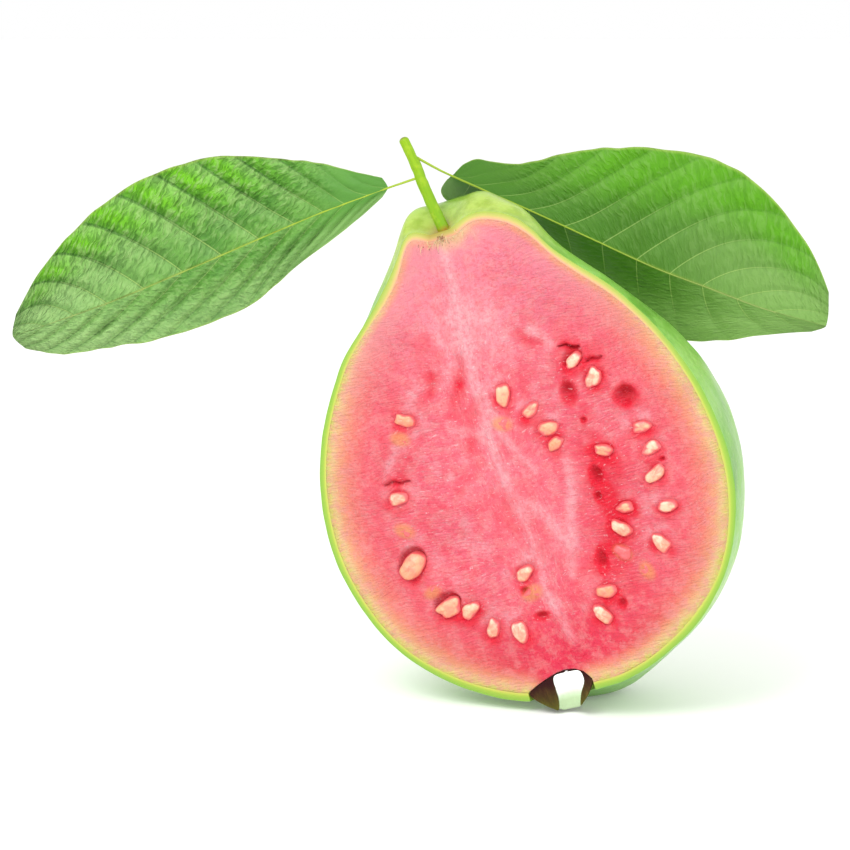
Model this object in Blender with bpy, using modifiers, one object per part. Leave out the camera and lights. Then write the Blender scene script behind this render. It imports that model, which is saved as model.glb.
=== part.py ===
"""Half of a pink guava, cut lengthwise, with its stem and two leaves.

Metres, +Z up. The fruit stands on its blossom end with the cut face towards -Y. The origin is the
middle of the small flat spot that it stands on.
"""

import math
import random

import bmesh
import bpy
from mathutils import Matrix, Vector

MM = 0.001
GAP = 0.3 * MM  # clearance between neighbouring pieces

# Fruit, in its own frame: X across the cut face, Y away from it, Z along the core from the blossom end
# Turned outline as (radius, height, how far its middle lies behind the core) in mm, crown first
PROFILE_MM = [
    (0.0, 84.6, -1.4),
    (1.8, 84.8, -1.4),
    (3.6, 85.7, -1.2),
    (5.8, 86.6, -0.9),
    (8.4, 86.4, -0.4),
    (11.2, 84.6, -0.9),
    (13.8, 81.6, -1.8),
    (17.5, 76.8, -3.2),
    (22.3, 70.8, -3.8),
    (27.9, 63.8, -3.2),
    (33.0, 55.6, -1.2),
    (36.4, 47.4, 0.8),
    (38.0, 39.2, 1.4),
    (38.1, 31.2, 0.8),
    (36.7, 23.6, 0.2),
    (34.0, 16.4, 0.0),
    (29.9, 10.2, 0.0),
    (23.6, 4.6, 0.0),
    (16.4, 0.4, 0.0),
    (9.8, -1.9, 0.0),
    (4.0, -2.4, 0.0),
    (0.0, -2.4, 0.0),
]
PROFILE_STEPS = 2  # points per span of the profile
TURN_STEPS = 42
SKIN = 1.3 * MM
CUT_Y = -3.0 * MM  # the knife passed a little in front of the core
CROWN_SLOPE = 0.17  # the crown rises away from the cut, but not on its right
SLOPE_END = (4 * MM, 12 * MM)
EDGE_DROP = 1.7 * MM  # the crown is lower at the cut than behind it, on the left twice as much
EDGE_SPREAD = 3.2 * MM
DIMPLE_X = -1.4 * MM  # the stem dimple is left of the core
CROWN_X = 1.4 * MM  # the rounded top about the dimple sits right of the core
HEEL_DROP = 8.4 * MM  # how much lower the blossom end lies behind the cut
SHOULDERS = [(-6.2, 3.4, 3.0, 0.8), (5.4, 3.4, 3.6, 0.8)]  # x, y, spread, height in mm
FRUIT_AT = Vector((7.0, -16.0, 6.8)) * MM
LEAN, YAW = math.radians(17.1), math.radians(18.0)

# Seeds lie in rows on the cut face. Each row: path points (x, z) in mm, number of seeds, large ones
SEED_ROWS = {
    "left_top": ([(-17.9, 52.8), (-19.3, 49.7)], 2, ()),
    "left_rim": ([(-22.9, 39.5), (-24.1, 26.8), (-19.4, 17.9)], 5, (2, 4)),
    "low_rim": ([(-15.8, 16.5), (-12.6, 12.5), (-8.0, 10.6)], 3, ()),
    "right_rim": ([(24.5, 41.4), (24.7, 37.2), (24.8, 32.8)], 3, ()),
    "right_low": ([(24.7, 26.6), (22.6, 22.4), (20.9, 19.1), (17.9, 16.1)], 3, ()),
    "right_top": ([(16.8, 39.1), (17.2, 35.0)], 1, ()),
    "right_row": ([(17.4, 28.1), (16.0, 24.5), (14.8, 20.5)], 3, ()),
    "middle_row": ([(1.6, 52.5), (7.2, 46.8), (8.5, 42.3)], 4, ()),
    "core": ([(0.0, 47.7), (0.0, 44.0)], 1, ()),
    "top_pair": ([(15.4, 55.4), (18.5, 51.8)], 2, ()),
    "low_left": ([(-3.7, 21.1), (-3.3, 16.8)], 2, ()),
    "low_right": ([(10.0, 14.6), (8.1, 10.4)], 2, ()),
}
SEED_SIZE = Vector((3.8, 2.5, 2.6)) * MM  # across the row, into the flesh, along the row
SEED_FACETS = (8, 5)
LARGE_SEED = 1.35
SEED_SUNK = 0.35 * MM
SEED_DRAW = 11
# Sockets that a seed fell out of: x, z, width, height in mm
SOCKETS = [(13.3, 49.9, 2.8, 3.6), (23.2, 47.1, 4.4, 4.0), (14.0, 34.9, 2.2, 4.2), (10.7, 19.9, 1.8, 3.6)]
SOCKET_DEPTH = 1.7 * MM

# Blossom end: the dry cup of the calyx, turned about its own axis
CALYX_AT = Vector((-1.6, -2.8, 0.0)) * MM
CALYX_RADIUS = (6.3, -1.6)  # mean and lopsidedness in mm, thicker on the left
CALYX_LOBES = (3.9, 0.7)  # mean length of the four sepals below the rim and its swing, in mm
# Section of the cup as (bore in mm, share of the way from the bore to the outer radius, height in mm)
CALYX_INNER = [(0.0, 0.0, 1.7), (1.4, 0.0, 1.5), (2.4, 0.0, 0.6), (2.5, 0.0, -0.7), (2.1, 0.0, -2.2)]
CALYX_OUTER = [(2.6, 0.8, -1.9), (2.6, 1.0, 0.2), (2.4, 0.72, 1.1), (1.4, 0.4, 1.9), (0.0, 0.0, 2.4)]
CALYX_TURNS = 32

# Stem: centre line and radius, in mm
STEM_LINE = [
    (-17.2, -9.4, 84.7, 1.5),
    (-17.8, -9.2, 86.6, 1.15),
    (-19.5, -8.4, 90.2, 1.05),
    (-21.3, -7.2, 94.0, 1.1),
    (-22.7, -6.2, 97.5, 1.25),
    (-24.8, -5.0, 101.8, 1.15),
]
STEM_STEPS = 3
STEM_SIDES = 12

# Leaves: stations from the base to the tip, each with the midrib, upper margin and lower margin in mm
LEFT_LEAF = [
    ((-27.7, -2.0, 93.2), (-27.9, -2.0, 93.9), (-27.9, -1.6, 92.4)),
    ((-34.6, 1.0, 90.4), (-34.2, 1.0, 95.9), (-34.3, 2.5, 86.2)),
    ((-42.0, 4.0, 87.3), (-43.7, 4.5, 97.6), (-44.7, 6.0, 77.8)),
    ((-53.1, 6.0, 82.4), (-56.9, 6.5, 98.2), (-54.4, 7.5, 70.2)),
    ((-65.6, 7.0, 76.9), (-69.8, 8.0, 95.2), (-67.4, 8.5, 65.2)),
    ((-78.0, 7.0, 71.7), (-82.0, 8.0, 87.7), (-78.9, 8.0, 62.7)),
    ((-88.4, 5.5, 68.1), (-91.2, 6.5, 77.7), (-88.6, 6.0, 61.9)),
    ((-96.5, 4.0, 65.5), (-96.8, 4.0, 67.7), (-95.4, 4.0, 63.5)),
]
RIGHT_LEAF = [
    ((-16.3, -2.5, 95.4), (-15.9, -2.2, 95.8), (-17.0, -2.2, 95.0)),
    ((-9.4, 2.4, 91.9), (-12.2, 3.5, 97.8), (-17.3, 5.5, 90.4)),
    ((-0.2, 6.5, 87.5), (-3.8, 8.0, 96.8), (-3.7, 13.5, 82.6)),
    ((11.0, 8.0, 82.2), (9.1, 10.5, 99.1), (6.0, 17.0, 74.0)),
    ((21.2, 8.5, 77.5), (23.5, 11.0, 99.1), (15.8, 16.5, 67.6)),
    ((31.0, 8.5, 73.8), (37.7, 11.0, 94.4), (27.2, 12.5, 63.3)),
    ((41.4, 7.5, 70.0), (48.8, 9.5, 82.5), (40.7, 9.0, 64.9)),
    ((52.5, 6.0, 67.1), (53.8, 7.0, 71.2), (51.9, 6.5, 66.1)),
]
LEAF_STEPS = 4  # rows of faces for each station
LEAF_HALF = 6  # faces from the midrib to a margin
LEAF_THICKNESS = 0.7 * MM
LEAF_VEINS = 8.5  # side veins along a leaf
LEAF_QUILT = 0.9 * MM  # how far the blade swells between side veins
LEAF_WAVE = 0.7 * MM  # how far the margins wave
RIB_RADIUS = (0.48, 0.32)  # at the petiole and at the tip, in mm
RIB_SIDES = 8
LEFT_PETIOLE = [(-21.8, -6.8, 95.6), (-24.8, -4.6, 94.4)]
RIGHT_PETIOLE = [(-22.5, -6.0, 98.9), (-19.1, -4.4, 96.9)]


def smoothstep(low, high, value):
    t = min(1.0, max(0.0, (value - low) / (high - low)))
    return t * t * (3.0 - 2.0 * t)


def between(p, q, r, s, t):
    """The Catmull-Rom value a share t of the way from q to r."""
    bend, twist = 2 * p - 5 * q + 4 * r - s, 3 * q - p - 3 * r + s
    return 0.5 * (2 * q + (r - p) * t + bend * t**2 + twist * t**3)


def smooth_path(points, steps):
    """A Catmull-Rom curve through the points, as tuples, with this many steps for each span."""
    ends = [points[0], *points, points[-1]]
    path = []
    for near in zip(ends, ends[1:], ends[2:], ends[3:]):
        for i in range(steps):
            path.append(tuple(between(*values, i / steps) for values in zip(*near)))
    return [*path, tuple(points[-1])]


def fruit_matrix():
    """From the fruit's own frame to the world: leaned sideways, turned, then set down."""
    return Matrix.Translation(FRUIT_AT) @ Matrix.Rotation(-YAW, 4, "Z") @ Matrix.Rotation(-LEAN, 4, "Y")


def inset_profile(inset):
    """The turned outline, moved inwards by inset, from the crown to the blossom end."""
    path = [Vector(p) * MM for p in smooth_path(PROFILE_MM, PROFILE_STEPS)]
    moved = []
    for before, here, after in zip([path[0], *path], path, [*path[1:], path[-1]]):
        along = (after.xy - before.xy).normalized()
        moved.append(here + Vector((along.y, -along.x, 0.0)) * inset)
    moved[0].x = moved[-1].x = 0.0
    return moved


def shaped(radius, height, behind, bearing, inset, place):
    """A point of the turned body in the world, with the fruit's slopes and lumps, flat where it stands."""
    swell = 1.0 + 0.006 * math.sin(2.0 * bearing + 0.7) + 0.004 * math.sin(5.0 * bearing + height / (9 * MM))
    x, y = radius * swell * math.cos(bearing), radius * swell * math.sin(bearing) + behind
    crown = smoothstep(58 * MM, 84 * MM, height)
    x += DIMPLE_X * crown * (1.0 - smoothstep(5 * MM, 15 * MM, radius))
    x += CROWN_X * crown * math.exp(-(((radius - 12 * MM) / (5 * MM)) ** 2))
    heel = (1.0 - smoothstep(0.0, 22 * MM, height)) * math.exp(-((max(0.0, x) / (16 * MM)) ** 2))
    z = height + CROWN_SLOPE * crown**2 * max(0.0, y - CUT_Y) * (1.0 - smoothstep(*SLOPE_END, x))
    z -= HEEL_DROP * heel * smoothstep(CUT_Y, CUT_Y + 26 * MM, y)
    drop = EDGE_DROP * smoothstep(64 * MM, 80 * MM, height) * (1.0 + smoothstep(5 * MM, 11 * MM, -x))
    z -= drop * math.exp(-(((y - CUT_Y) / EDGE_SPREAD) ** 2))
    for bump_x, bump_y, spread, lift in SHOULDERS:
        distance = math.hypot(x - bump_x * MM, y - bump_y * MM) / (spread * MM)
        z += lift * MM * crown * math.exp(-(distance**2))
    point = place @ Vector((x, y, z))
    point.z = max(point.z, inset)
    return point


def new_object(name, mesh, collection):
    obj = bpy.data.objects.new(name, mesh)
    collection.objects.link(obj)
    return obj


def solid_from(name, verts, faces, collection):
    """A closed mesh with its faces turned outwards."""
    mesh = bpy.data.meshes.new(name)
    mesh.from_pydata(verts, [], faces)
    shell = bmesh.new()
    shell.from_mesh(mesh)
    bmesh.ops.recalc_face_normals(shell, faces=shell.faces)
    shell.to_mesh(mesh)
    shell.free()
    return new_object(name, mesh, collection)


def fruit_body(name, inset, collection, place):
    """The whole uncut fruit, turned ring by ring about its core."""
    outline = inset_profile(inset)
    crown, blossom = outline[0], outline[-1]
    verts = [shaped(0.0, end.y, end.z, 0.0, inset, place) for end in (crown, blossom)]
    for p in outline[1:-1]:
        for k in range(TURN_STEPS):
            verts.append(shaped(p.x, p.y, p.z, math.tau * k / TURN_STEPS, inset, place))
    rings = len(outline) - 2
    faces = []
    for k in range(TURN_STEPS):
        a, b = 2 + k, 2 + (k + 1) % TURN_STEPS
        last = (rings - 1) * TURN_STEPS
        faces.append((0, b, a))
        faces.append((1, a + last, b + last))
        for j in range(rings - 1):
            c = j * TURN_STEPS
            faces.append((a + c, b + c, b + c + TURN_STEPS, a + c + TURN_STEPS))
    return solid_from(name, verts, faces, collection)


def tube(name, line, sides, collection, grow=0.0):
    """A round solid along the line of (x, y, z, radius) in mm, with flat ends, thicker by grow."""
    points = [Vector(p[:3]) * MM for p in line]
    verts = []
    for i, (x, y, z, radius) in enumerate(line):
        along = (points[min(i + 1, len(points) - 1)] - points[max(i - 1, 0)]).normalized()
        side = along.cross(Vector((0.0, 1.0, 0.0))).normalized()
        front = side.cross(along)
        for k in range(sides):
            angle = math.tau * k / sides
            out = side * math.cos(angle) + front * math.sin(angle)
            verts.append(points[i] + out * (radius * MM + grow))
    faces = [tuple(range(sides)), tuple(range(len(verts) - sides, len(verts)))]
    for i in range(len(line) - 1):
        for k in range(sides):
            a, b = i * sides + k, i * sides + (k + 1) % sides
            faces.append((a, b, b + sides, a + sides))
    return solid_from(name, verts, faces, collection)


def ellipsoids(name, shapes, collection):
    """One mesh of separate ellipsoids, each given as (radii, matrix)."""
    mesh = bpy.data.meshes.new(name)
    balls = bmesh.new()
    for radii, matrix in shapes:
        sized = matrix @ Matrix.Diagonal((*radii, 1.0))
        bmesh.ops.create_uvsphere(
            balls, u_segments=SEED_FACETS[0], v_segments=SEED_FACETS[1], radius=1.0, matrix=sized
        )
    balls.to_mesh(mesh)
    balls.free()
    return new_object(name, mesh, collection)


def box(name, low, high, matrix, collection):
    middle = (Vector(low) + Vector(high)) / 2
    size = Vector(high) - Vector(low)
    mesh = bpy.data.meshes.new(name)
    cube = bmesh.new()
    bmesh.ops.create_cube(cube, size=1.0)
    bmesh.ops.transform(
        cube, matrix=matrix @ Matrix.Translation(middle) @ Matrix.Diagonal((*size, 1.0)), verts=cube.verts
    )
    cube.to_mesh(mesh)
    cube.free()
    return new_object(name, mesh, collection)


def boolean(target, operation, tool, solver="EXACT"):
    modifier = target.modifiers.new(operation.title(), "BOOLEAN")
    modifier.operation = operation
    modifier.solver = solver
    modifier.object = tool


def seed_poses():
    """Where each seed lies on the cut face: middle, turn in the cut plane and size."""
    rng = random.Random(SEED_DRAW)
    for path, count, large in SEED_ROWS.values():
        line = smooth_path(path, 8)
        for i in range(count):
            share = i / max(1, count - 1) * (len(line) - 1)
            k = min(int(share), len(line) - 2)
            here = Vector(line[k]).lerp(Vector(line[k + 1]), share - k)
            along = Vector(line[k + 1]) - Vector(line[k])
            turn = math.atan2(along.y, along.x) - math.pi / 2 + rng.uniform(-0.5, 0.5)
            size = (LARGE_SEED if i in large else 1.0) * rng.uniform(0.88, 1.1)
            spot = here + Vector((rng.uniform(-0.3, 0.3), rng.uniform(-0.3, 0.3)))
            yield spot * MM, turn, size


def seed_shapes(place):
    """The seeds, half sunk in the cut face."""
    for spot, turn, size in seed_poses():
        pose = Matrix.Translation((spot.x, CUT_Y + SEED_SUNK, spot.y)) @ Matrix.Rotation(-turn, 4, "Y")
        yield SEED_SIZE * size / 2, place @ pose


def socket_shapes(place):
    """The hollows that seeds fell out of."""
    for x, z, width, height in SOCKETS:
        pose = Matrix.Translation((x * MM, CUT_Y, z * MM))
        yield Vector((width / 2 * MM, SOCKET_DEPTH, height / 2 * MM)), place @ pose


def calyx_solid(name, collection, place, grow=0.0, filled=False):
    """The cup of dry sepals, or with filled the room that it needs in the fruit."""
    rows = []
    for k in range(CALYX_TURNS):
        bearing = math.tau * k / CALYX_TURNS
        radius = CALYX_RADIUS[0] + CALYX_RADIUS[1] * math.cos(bearing)
        length = CALYX_LOBES[0] + CALYX_LOBES[1] * math.cos(4.0 * bearing)
        tips = [(2.3, 0.0, -length), (2.6, 0.1, -length + 0.2), (2.6, 0.45, -0.7 * length)]
        section = CALYX_INNER + tips + CALYX_OUTER
        if filled:
            section = [(0.0, 0.0, -8.0), (2.6, 1.0, -8.0), *CALYX_OUTER[1:]]
        ring = []
        for bore, share, height in section:
            reach = (bore + share * (radius - bore)) * MM + (grow if bore else 0.0)
            lift = grow if height > 0.0 and filled else 0.0
            ring.append(Vector((reach * math.cos(bearing), reach * math.sin(bearing), height * MM + lift)))
        rows.append(ring)
    count = len(rows[0])
    verts = [rows[0][0], rows[0][-1]]
    for ring in rows:
        verts.extend(ring[1:-1])
    inner = count - 2
    faces = []
    for k in range(CALYX_TURNS):
        a, b = 2 + k * inner, 2 + (k + 1) % CALYX_TURNS * inner
        faces.append((0, b, a))
        faces.append((1, a + inner - 1, b + inner - 1))
        for j in range(inner - 1):
            faces.append((a + j, b + j, b + j + 1, a + j + 1))
    pose = place @ Matrix.Translation(CALYX_AT)
    return solid_from(name, [pose @ v for v in verts], faces, collection)


def leaf_blade(name, stations, flip, collection):
    """The blade as a thin sheet, then given its thickness."""
    columns = [smooth_path([s[c] for s in stations], LEAF_STEPS) for c in range(3)]
    rows = len(columns[0])
    verts = []
    for i in range(rows):
        middle, upper, lower = (Vector(column[i]) * MM for column in columns)
        ends = min(1.0, 4.0 * i / rows, 4.0 * (rows - 1 - i) / rows)
        for j in range(-LEAF_HALF, LEAF_HALF + 1):
            t = j / LEAF_HALF
            point = middle.lerp(upper if t > 0 else lower, abs(t))
            vein = LEAF_VEINS * i / (rows - 1) - 1.3 * abs(t) + flip
            swell = abs(math.sin(math.pi * vein)) ** 0.8 * math.sin(math.pi * min(1.0, abs(t) * 1.1)) ** 0.6
            wave = math.sin(9.0 * i / rows * math.pi + (2.0 if t > 0 else 0.4)) * abs(t) ** 3
            point.y -= LEAF_QUILT * swell * ends - LEAF_WAVE * wave * ends
            verts.append(point)
    across = 2 * LEAF_HALF + 1
    faces = []
    for i in range(rows - 1):
        for j in range(across - 1):
            a = i * across + j
            faces.append((a, a + 1, a + across + 1, a + across))
    mesh = bpy.data.meshes.new(name)
    mesh.from_pydata(verts, [], faces)
    sheet = bmesh.new()
    sheet.from_mesh(mesh)
    bmesh.ops.triangulate(sheet, faces=sheet.faces)
    sheet.to_mesh(mesh)
    sheet.free()
    obj = new_object(name, mesh, collection)
    solidify = obj.modifiers.new("Thickness", "SOLIDIFY")
    solidify.thickness = LEAF_THICKNESS
    solidify.offset = 0.0
    return obj


def midrib(name, stations, petiole, collection):
    """The petiole and the midrib in one tapering stalk, a little proud behind the blade."""
    path = smooth_path(petiole + [s[0] for s in stations], 4)
    count = len(path) - 1
    thick, thin = RIB_RADIUS
    line = []
    for i, (x, y, z) in enumerate(path[:-2]):
        share = i / count
        line.append((x, y + 0.25 * min(1.0, 6.0 * share), z, thick + (thin - thick) * share**0.7))
    return tube(name, line, RIB_SIDES, collection)


def material(name, color, roughness):
    made = bpy.data.materials.new(name)
    made.use_nodes = True
    shader = made.node_tree.nodes["Principled BSDF"]
    shader.inputs["Base Color"].default_value = (*color, 1.0)
    shader.inputs["Roughness"].default_value = roughness
    return made


def finish(obj, color, roughness):
    obj.data.materials.clear()
    obj.data.materials.append(material(obj.name, color, roughness))
    obj.data.shade_smooth()


def new_collection(name, parent, hidden=False):
    made = bpy.data.collections.new(name)
    parent.children.link(made)
    made.hide_render = hidden
    return made


def build():
    for obj in list(bpy.data.objects):
        bpy.data.objects.remove(obj)
    root = bpy.context.scene.collection
    parts = new_collection("guava", root)
    cutters = new_collection("guava_cutters", root, hidden=True)
    place = fruit_matrix()

    knife = box("knife", (-0.1, -0.1, -0.1), (0.1, CUT_Y, 0.2), place, cutters)
    stem_line = smooth_path(STEM_LINE, STEM_STEPS)
    stem_room = tube("stem_room", stem_line, STEM_SIDES, cutters, grow=GAP)
    calyx_room = calyx_solid("calyx_room", cutters, place, grow=GAP, filled=True)
    seeds = ellipsoids("seeds", seed_shapes(place), cutters)
    sockets = ellipsoids("sockets", socket_shapes(place), cutters)

    skin = fruit_body("skin", 0.0, parts, place)
    inside = fruit_body("skin_inside", SKIN, cutters, place)
    flesh = fruit_body("flesh", SKIN + GAP, parts, place)
    boolean(skin, "DIFFERENCE", inside)
    for piece in (skin, flesh):
        for tool in (knife, stem_room, calyx_room):
            boolean(piece, "DIFFERENCE", tool)
    boolean(flesh, "DIFFERENCE", sockets, "MANIFOLD")
    boolean(flesh, "UNION", seeds, "MANIFOLD")

    calyx = calyx_solid("calyx", parts, place)
    boolean(calyx, "DIFFERENCE", knife)
    stem = tube("stem", stem_line, STEM_SIDES, parts)

    leaves = []
    for side, stations, petiole in (("left", LEFT_LEAF, LEFT_PETIOLE), ("right", RIGHT_LEAF, RIGHT_PETIOLE)):
        leaf = leaf_blade(f"leaf_{side}", stations, 0.2 if side == "left" else 0.6, parts)
        boolean(leaf, "UNION", midrib(f"rib_{side}", stations, petiole, cutters), "MANIFOLD")
        boolean(leaf, "DIFFERENCE", stem_room, "MANIFOLD")
        leaves.append(leaf)

    finish(skin, (0.28, 0.52, 0.07), 0.5)
    finish(flesh, (0.9, 0.22, 0.2), 0.45)
    finish(calyx, (0.11, 0.045, 0.03), 0.8)
    finish(stem, (0.38, 0.48, 0.1), 0.6)
    for leaf in leaves:
        finish(leaf, (0.13, 0.3, 0.06), 0.5)
    for obj in cutters.all_objects:
        obj.display_type = "WIRE"
        obj.hide_render = True


build()
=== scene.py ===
"""Looks of the halved pink guava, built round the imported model: flesh, seeds, skin, calyx, stem and leaves.

Shapes are worked out in mm, most of them in the fruit's own frame: X across the cut face, Y away from
it and Z along the core from the blossom end. They are placed in the world in metres.
"""

import math
import random

import bmesh
import bpy
import numpy as np
from mathutils import Matrix, Vector
from mathutils.bvhtree import BVHTree


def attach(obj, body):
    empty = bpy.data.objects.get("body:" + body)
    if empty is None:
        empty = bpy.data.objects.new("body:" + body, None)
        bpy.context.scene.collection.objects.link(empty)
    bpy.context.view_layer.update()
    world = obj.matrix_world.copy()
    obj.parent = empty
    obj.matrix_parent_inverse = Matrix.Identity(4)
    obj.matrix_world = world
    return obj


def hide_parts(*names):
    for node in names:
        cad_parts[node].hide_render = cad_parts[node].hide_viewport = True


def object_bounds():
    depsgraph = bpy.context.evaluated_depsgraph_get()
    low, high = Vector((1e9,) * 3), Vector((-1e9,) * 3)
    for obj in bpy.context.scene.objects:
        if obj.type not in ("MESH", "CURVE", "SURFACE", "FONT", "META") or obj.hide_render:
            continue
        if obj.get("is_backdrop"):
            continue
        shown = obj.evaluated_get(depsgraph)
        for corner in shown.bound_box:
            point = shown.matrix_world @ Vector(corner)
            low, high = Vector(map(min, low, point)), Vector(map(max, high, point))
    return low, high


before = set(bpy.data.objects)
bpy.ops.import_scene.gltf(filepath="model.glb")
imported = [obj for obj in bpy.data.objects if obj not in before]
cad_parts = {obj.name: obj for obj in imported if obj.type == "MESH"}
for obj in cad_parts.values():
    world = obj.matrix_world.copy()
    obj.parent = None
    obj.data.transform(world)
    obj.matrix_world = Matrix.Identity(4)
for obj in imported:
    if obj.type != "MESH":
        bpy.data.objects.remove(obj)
CAD_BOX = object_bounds()

MM = 0.001

# Camera of the photograph
CAMERA_AIM = Vector((-0.0211, -0.0200, 0.0532))
CAMERA_ELEVATION = math.radians(10)
CAMERA_DISTANCE = 0.5
CAMERA_LENS = 120.7
CAMERA_SENSOR = 36

# Fruit: turned outline as (radius, height, how far its middle lies behind the core), crown first
PROFILE = [
    (0, 84.6, -1.4),
    (1.8, 84.8, -1.4),
    (3.6, 85.7, -1.2),
    (5.8, 86.6, -0.9),
    (8.4, 86.4, -0.4),
    (11.2, 84.6, -0.9),
    (13.8, 81.6, -1.8),
    (17.5, 76.8, -3.2),
    (22.3, 70.8, -3.8),
    (27.9, 63.8, -3.2),
    (33, 55.6, -1.2),
    (36.4, 47.4, 0.8),
    (38, 39.2, 1.4),
    (38.1, 31.2, 0.8),
    (36.7, 23.6, 0.2),
    (34, 16.4, 0),
    (29.9, 10.2, 0),
    (23.6, 4.6, 0),
    (16.4, 0.4, 0),
    (9.8, -1.9, 0),
    (4, -2.4, 0),
    (0, -2.4, 0),
]
PROFILE_STEPS = 8
SKIN = 1.3  # thickness
CUT_Y = -3  # where the knife cut, just in front of the core
CROWN_SPAN = (58, 84)  # heights between which the crown's own shapes set in
CROWN_SLOPE = 0.17  # rise of the crown for each mm behind the cut
SLOPE_END = (4, 12)  # where to the right that slope ends
EDGE_DROP = 1.7  # how much lower the crown is at the cut than behind it
EDGE_SPREAD = 3.2
EDGE_SPAN = (64, 80)  # heights
EDGE_DOUBLE = (5, 11)  # where to the left the drop comes to twice as much
DIMPLE_X = -1.4
CROWN_X = 1.4
HEEL_DROP = 8.4  # how far the blossom end sags behind the cut, down to the ground
HEEL_SPAN = (0, 22)  # heights
HEEL_SPREAD = 16
HEEL_REACH = 26
SHOULDERS = [(-6.2, 3.4, 3, 0.8), (5.4, 3.4, 3.6, 0.8)]  # x, y, spread, height
FRUIT_AT = Vector((7, -16, 6.8)) * MM
LEAN, YAW = math.radians(17.1), math.radians(18)
CROWN_RING = 2.3  # radius of the first ring that the knife cut
BLOSSOM_RING = 17  # radius of the last ring before the skin is drawn in to the calyx
SKIN_TURNS = 170
CALYX_RINGS = 14
SKIN_MIDDLE = (0, 4, 36)
SKIN_LUMPS = [(0.3, 15, 21), (0.12, 5, 22), (0.04, 1.8, 23)]  # height, size, seed

# Seeds: path points (x, z), number of seeds, large ones, those that lie under a film of flesh
SEED_ROWS = {
    "left_top": ([(-17.9, 52.8), (-19.3, 49.7)], 2, (), (1,)),
    "left_rim": ([(-22.9, 39.5), (-24.1, 26.8), (-19.4, 17.9)], 5, (2, 4), (1, 3)),
    "low_rim": ([(-15.8, 16.5), (-12.6, 12.5), (-8, 10.6)], 3, (), ()),
    "right_rim": ([(24.5, 41.4), (24.7, 37.2), (24.8, 32.8)], 3, (), ()),
    "right_low": ([(24.7, 26.6), (22.6, 22.4), (20.9, 19.1), (17.9, 16.1)], 3, (), (2,)),
    "right_top": ([(16.8, 39.1), (17.2, 35)], 1, (), ()),
    "right_row": ([(17.4, 28.1), (16, 24.5), (14.8, 20.5)], 3, (), (2,)),
    "middle_row": ([(1.6, 52.5), (7.2, 46.8), (8.5, 42.3)], 4, (), ()),
    "core": ([(0, 47.7), (0, 44)], 1, (), (0,)),
    "top_pair": ([(15.4, 55.4), (18.5, 51.8)], 2, (), ()),
    "low_left": ([(-3.7, 21.1), (-3.3, 16.8)], 2, (), (1,)),
    "low_right": ([(10, 14.6), (8.1, 10.4)], 2, (), ()),
}
SEED_SIZE = (3.8, 2.5, 2.6)  # across the row, into the flesh, along the row
LARGE_SEED = 1.35
SEED_SUNK = 0.55
BURIED_SUNK = 0.75
SEED_DRAW = 11  # random places and sizes
SEED_SHAPE_DRAW = 5
SEED_FACETS = (28, 18)

# Relief of the cut face. Sockets: x, z, width, height, depth, how far the painted shade inside lies towards
# the top
SOCKETS = [
    (13.3, 50.2, 3.2, 4.4, 1.5, 0.4),
    (23.2, 47.1, 4.4, 4.2, 1.9, 0.5),
    (14, 34.9, 2.4, 4, 1.5, 0.2),
    (10.7, 19.9, 2.2, 4.4, 1.2, 0.2),
    (-4.6, 17.6, 2, 1.8, 0.9, 0.3),
    (-3, 12.6, 3.2, 1.8, 0.9, 0.3),
    (13.2, 31, 1.6, 2.2, 0.9, 0.2),
    (12.2, 11.6, 1.8, 2, 0.7, 0.2),
    (14.6, 44.9, 1.2, 1.2, 0.6, 0.2),
    (26.4, 34.8, 1.2, 0.9, 0.8, 0.2),
]
# Slits: x, z, half length, turn in degrees, depth
SLITS = [
    (15.6, 58, 2, -18, 1.4),
    (19.4, 54.8, 1.6, 4, 0.8),
    (-22.6, 42.2, 2.6, -8, 1),
]
# Crescents over large seeds, hollows with painted shade in them: row, number, depth
CRESCENTS = [("left_rim", 2, 1.5), ("left_rim", 4, 1.5), ("top_pair", 0, 0.7)]
# Furrows: points (x, z), half width, depth
FURROWS = [
    ([(-4.6, 60.6), (-5, 58.6), (-5.6, 57)], 0.8, 0.6),
    ([(-6.2, 55.8), (-7.4, 53.6), (-8.2, 51.6)], 1.2, 0.8),
    ([(-10.6, 59.4), (-11, 57.4), (-11.6, 56.2)], 0.8, 0.6),
    ([(-6.2, 45.8), (-6.8, 43.8), (-7.2, 41.8)], 0.9, 0.5),
    ([(7.4, 62.6), (9, 60.6), (10.4, 60.2)], 0.8, 0.4),
    ([(15.4, 37.6), (15, 33), (14.6, 28), (13.4, 21)], 3.1, 0.7),
]
# The pale strand down the core and its side branches: points (x, z), half width
STRANDS = [
    (
        [(-1.6, 83.4), (-1.9, 72), (-3, 56), (-3, 43.7), (-1.9, 34), (-0.5, 25.3), (-0.8, 16.5), (1.7, 7.2)],
        0.9,
    ),
    ([(-3, 57), (-1.6, 52), (-0.6, 46), (3.4, 38)], 0.7),
    ([(-1.9, 34), (2.4, 31), (4.6, 25.6)], 1),
    ([(9.6, 40.6), (8.6, 33), (6.2, 25), (4.6, 18.6)], 0.9),
    ([(-15.2, 56.4), (-16.6, 53.6), (-16.8, 50.4)], 1.2),
    ([(-20, 48.4), (-22.8, 45.6), (-24.4, 43.4)], 0.9),
    ([(9.6, 62.4), (12, 60.4), (14.6, 57.2)], 0.9),
]
PALE_PATCH = (-1, 66.5, 6.5, 5.5)  # x, z and half sizes of the paler flesh under the crown
FACE_LUMPS = [(0.16, 5, 1), (0.09, 1.7, 2), (0.05, 0.8, 3)]
TOP_SPAN = (54, 80)  # heights between which the rim turns from yellow-green to pale pink
TOP_TILT = 0.3  # how much sooner that happens for each mm to the right
FLESH_ACROSS, FLESH_DOWN = 232, 252
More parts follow.
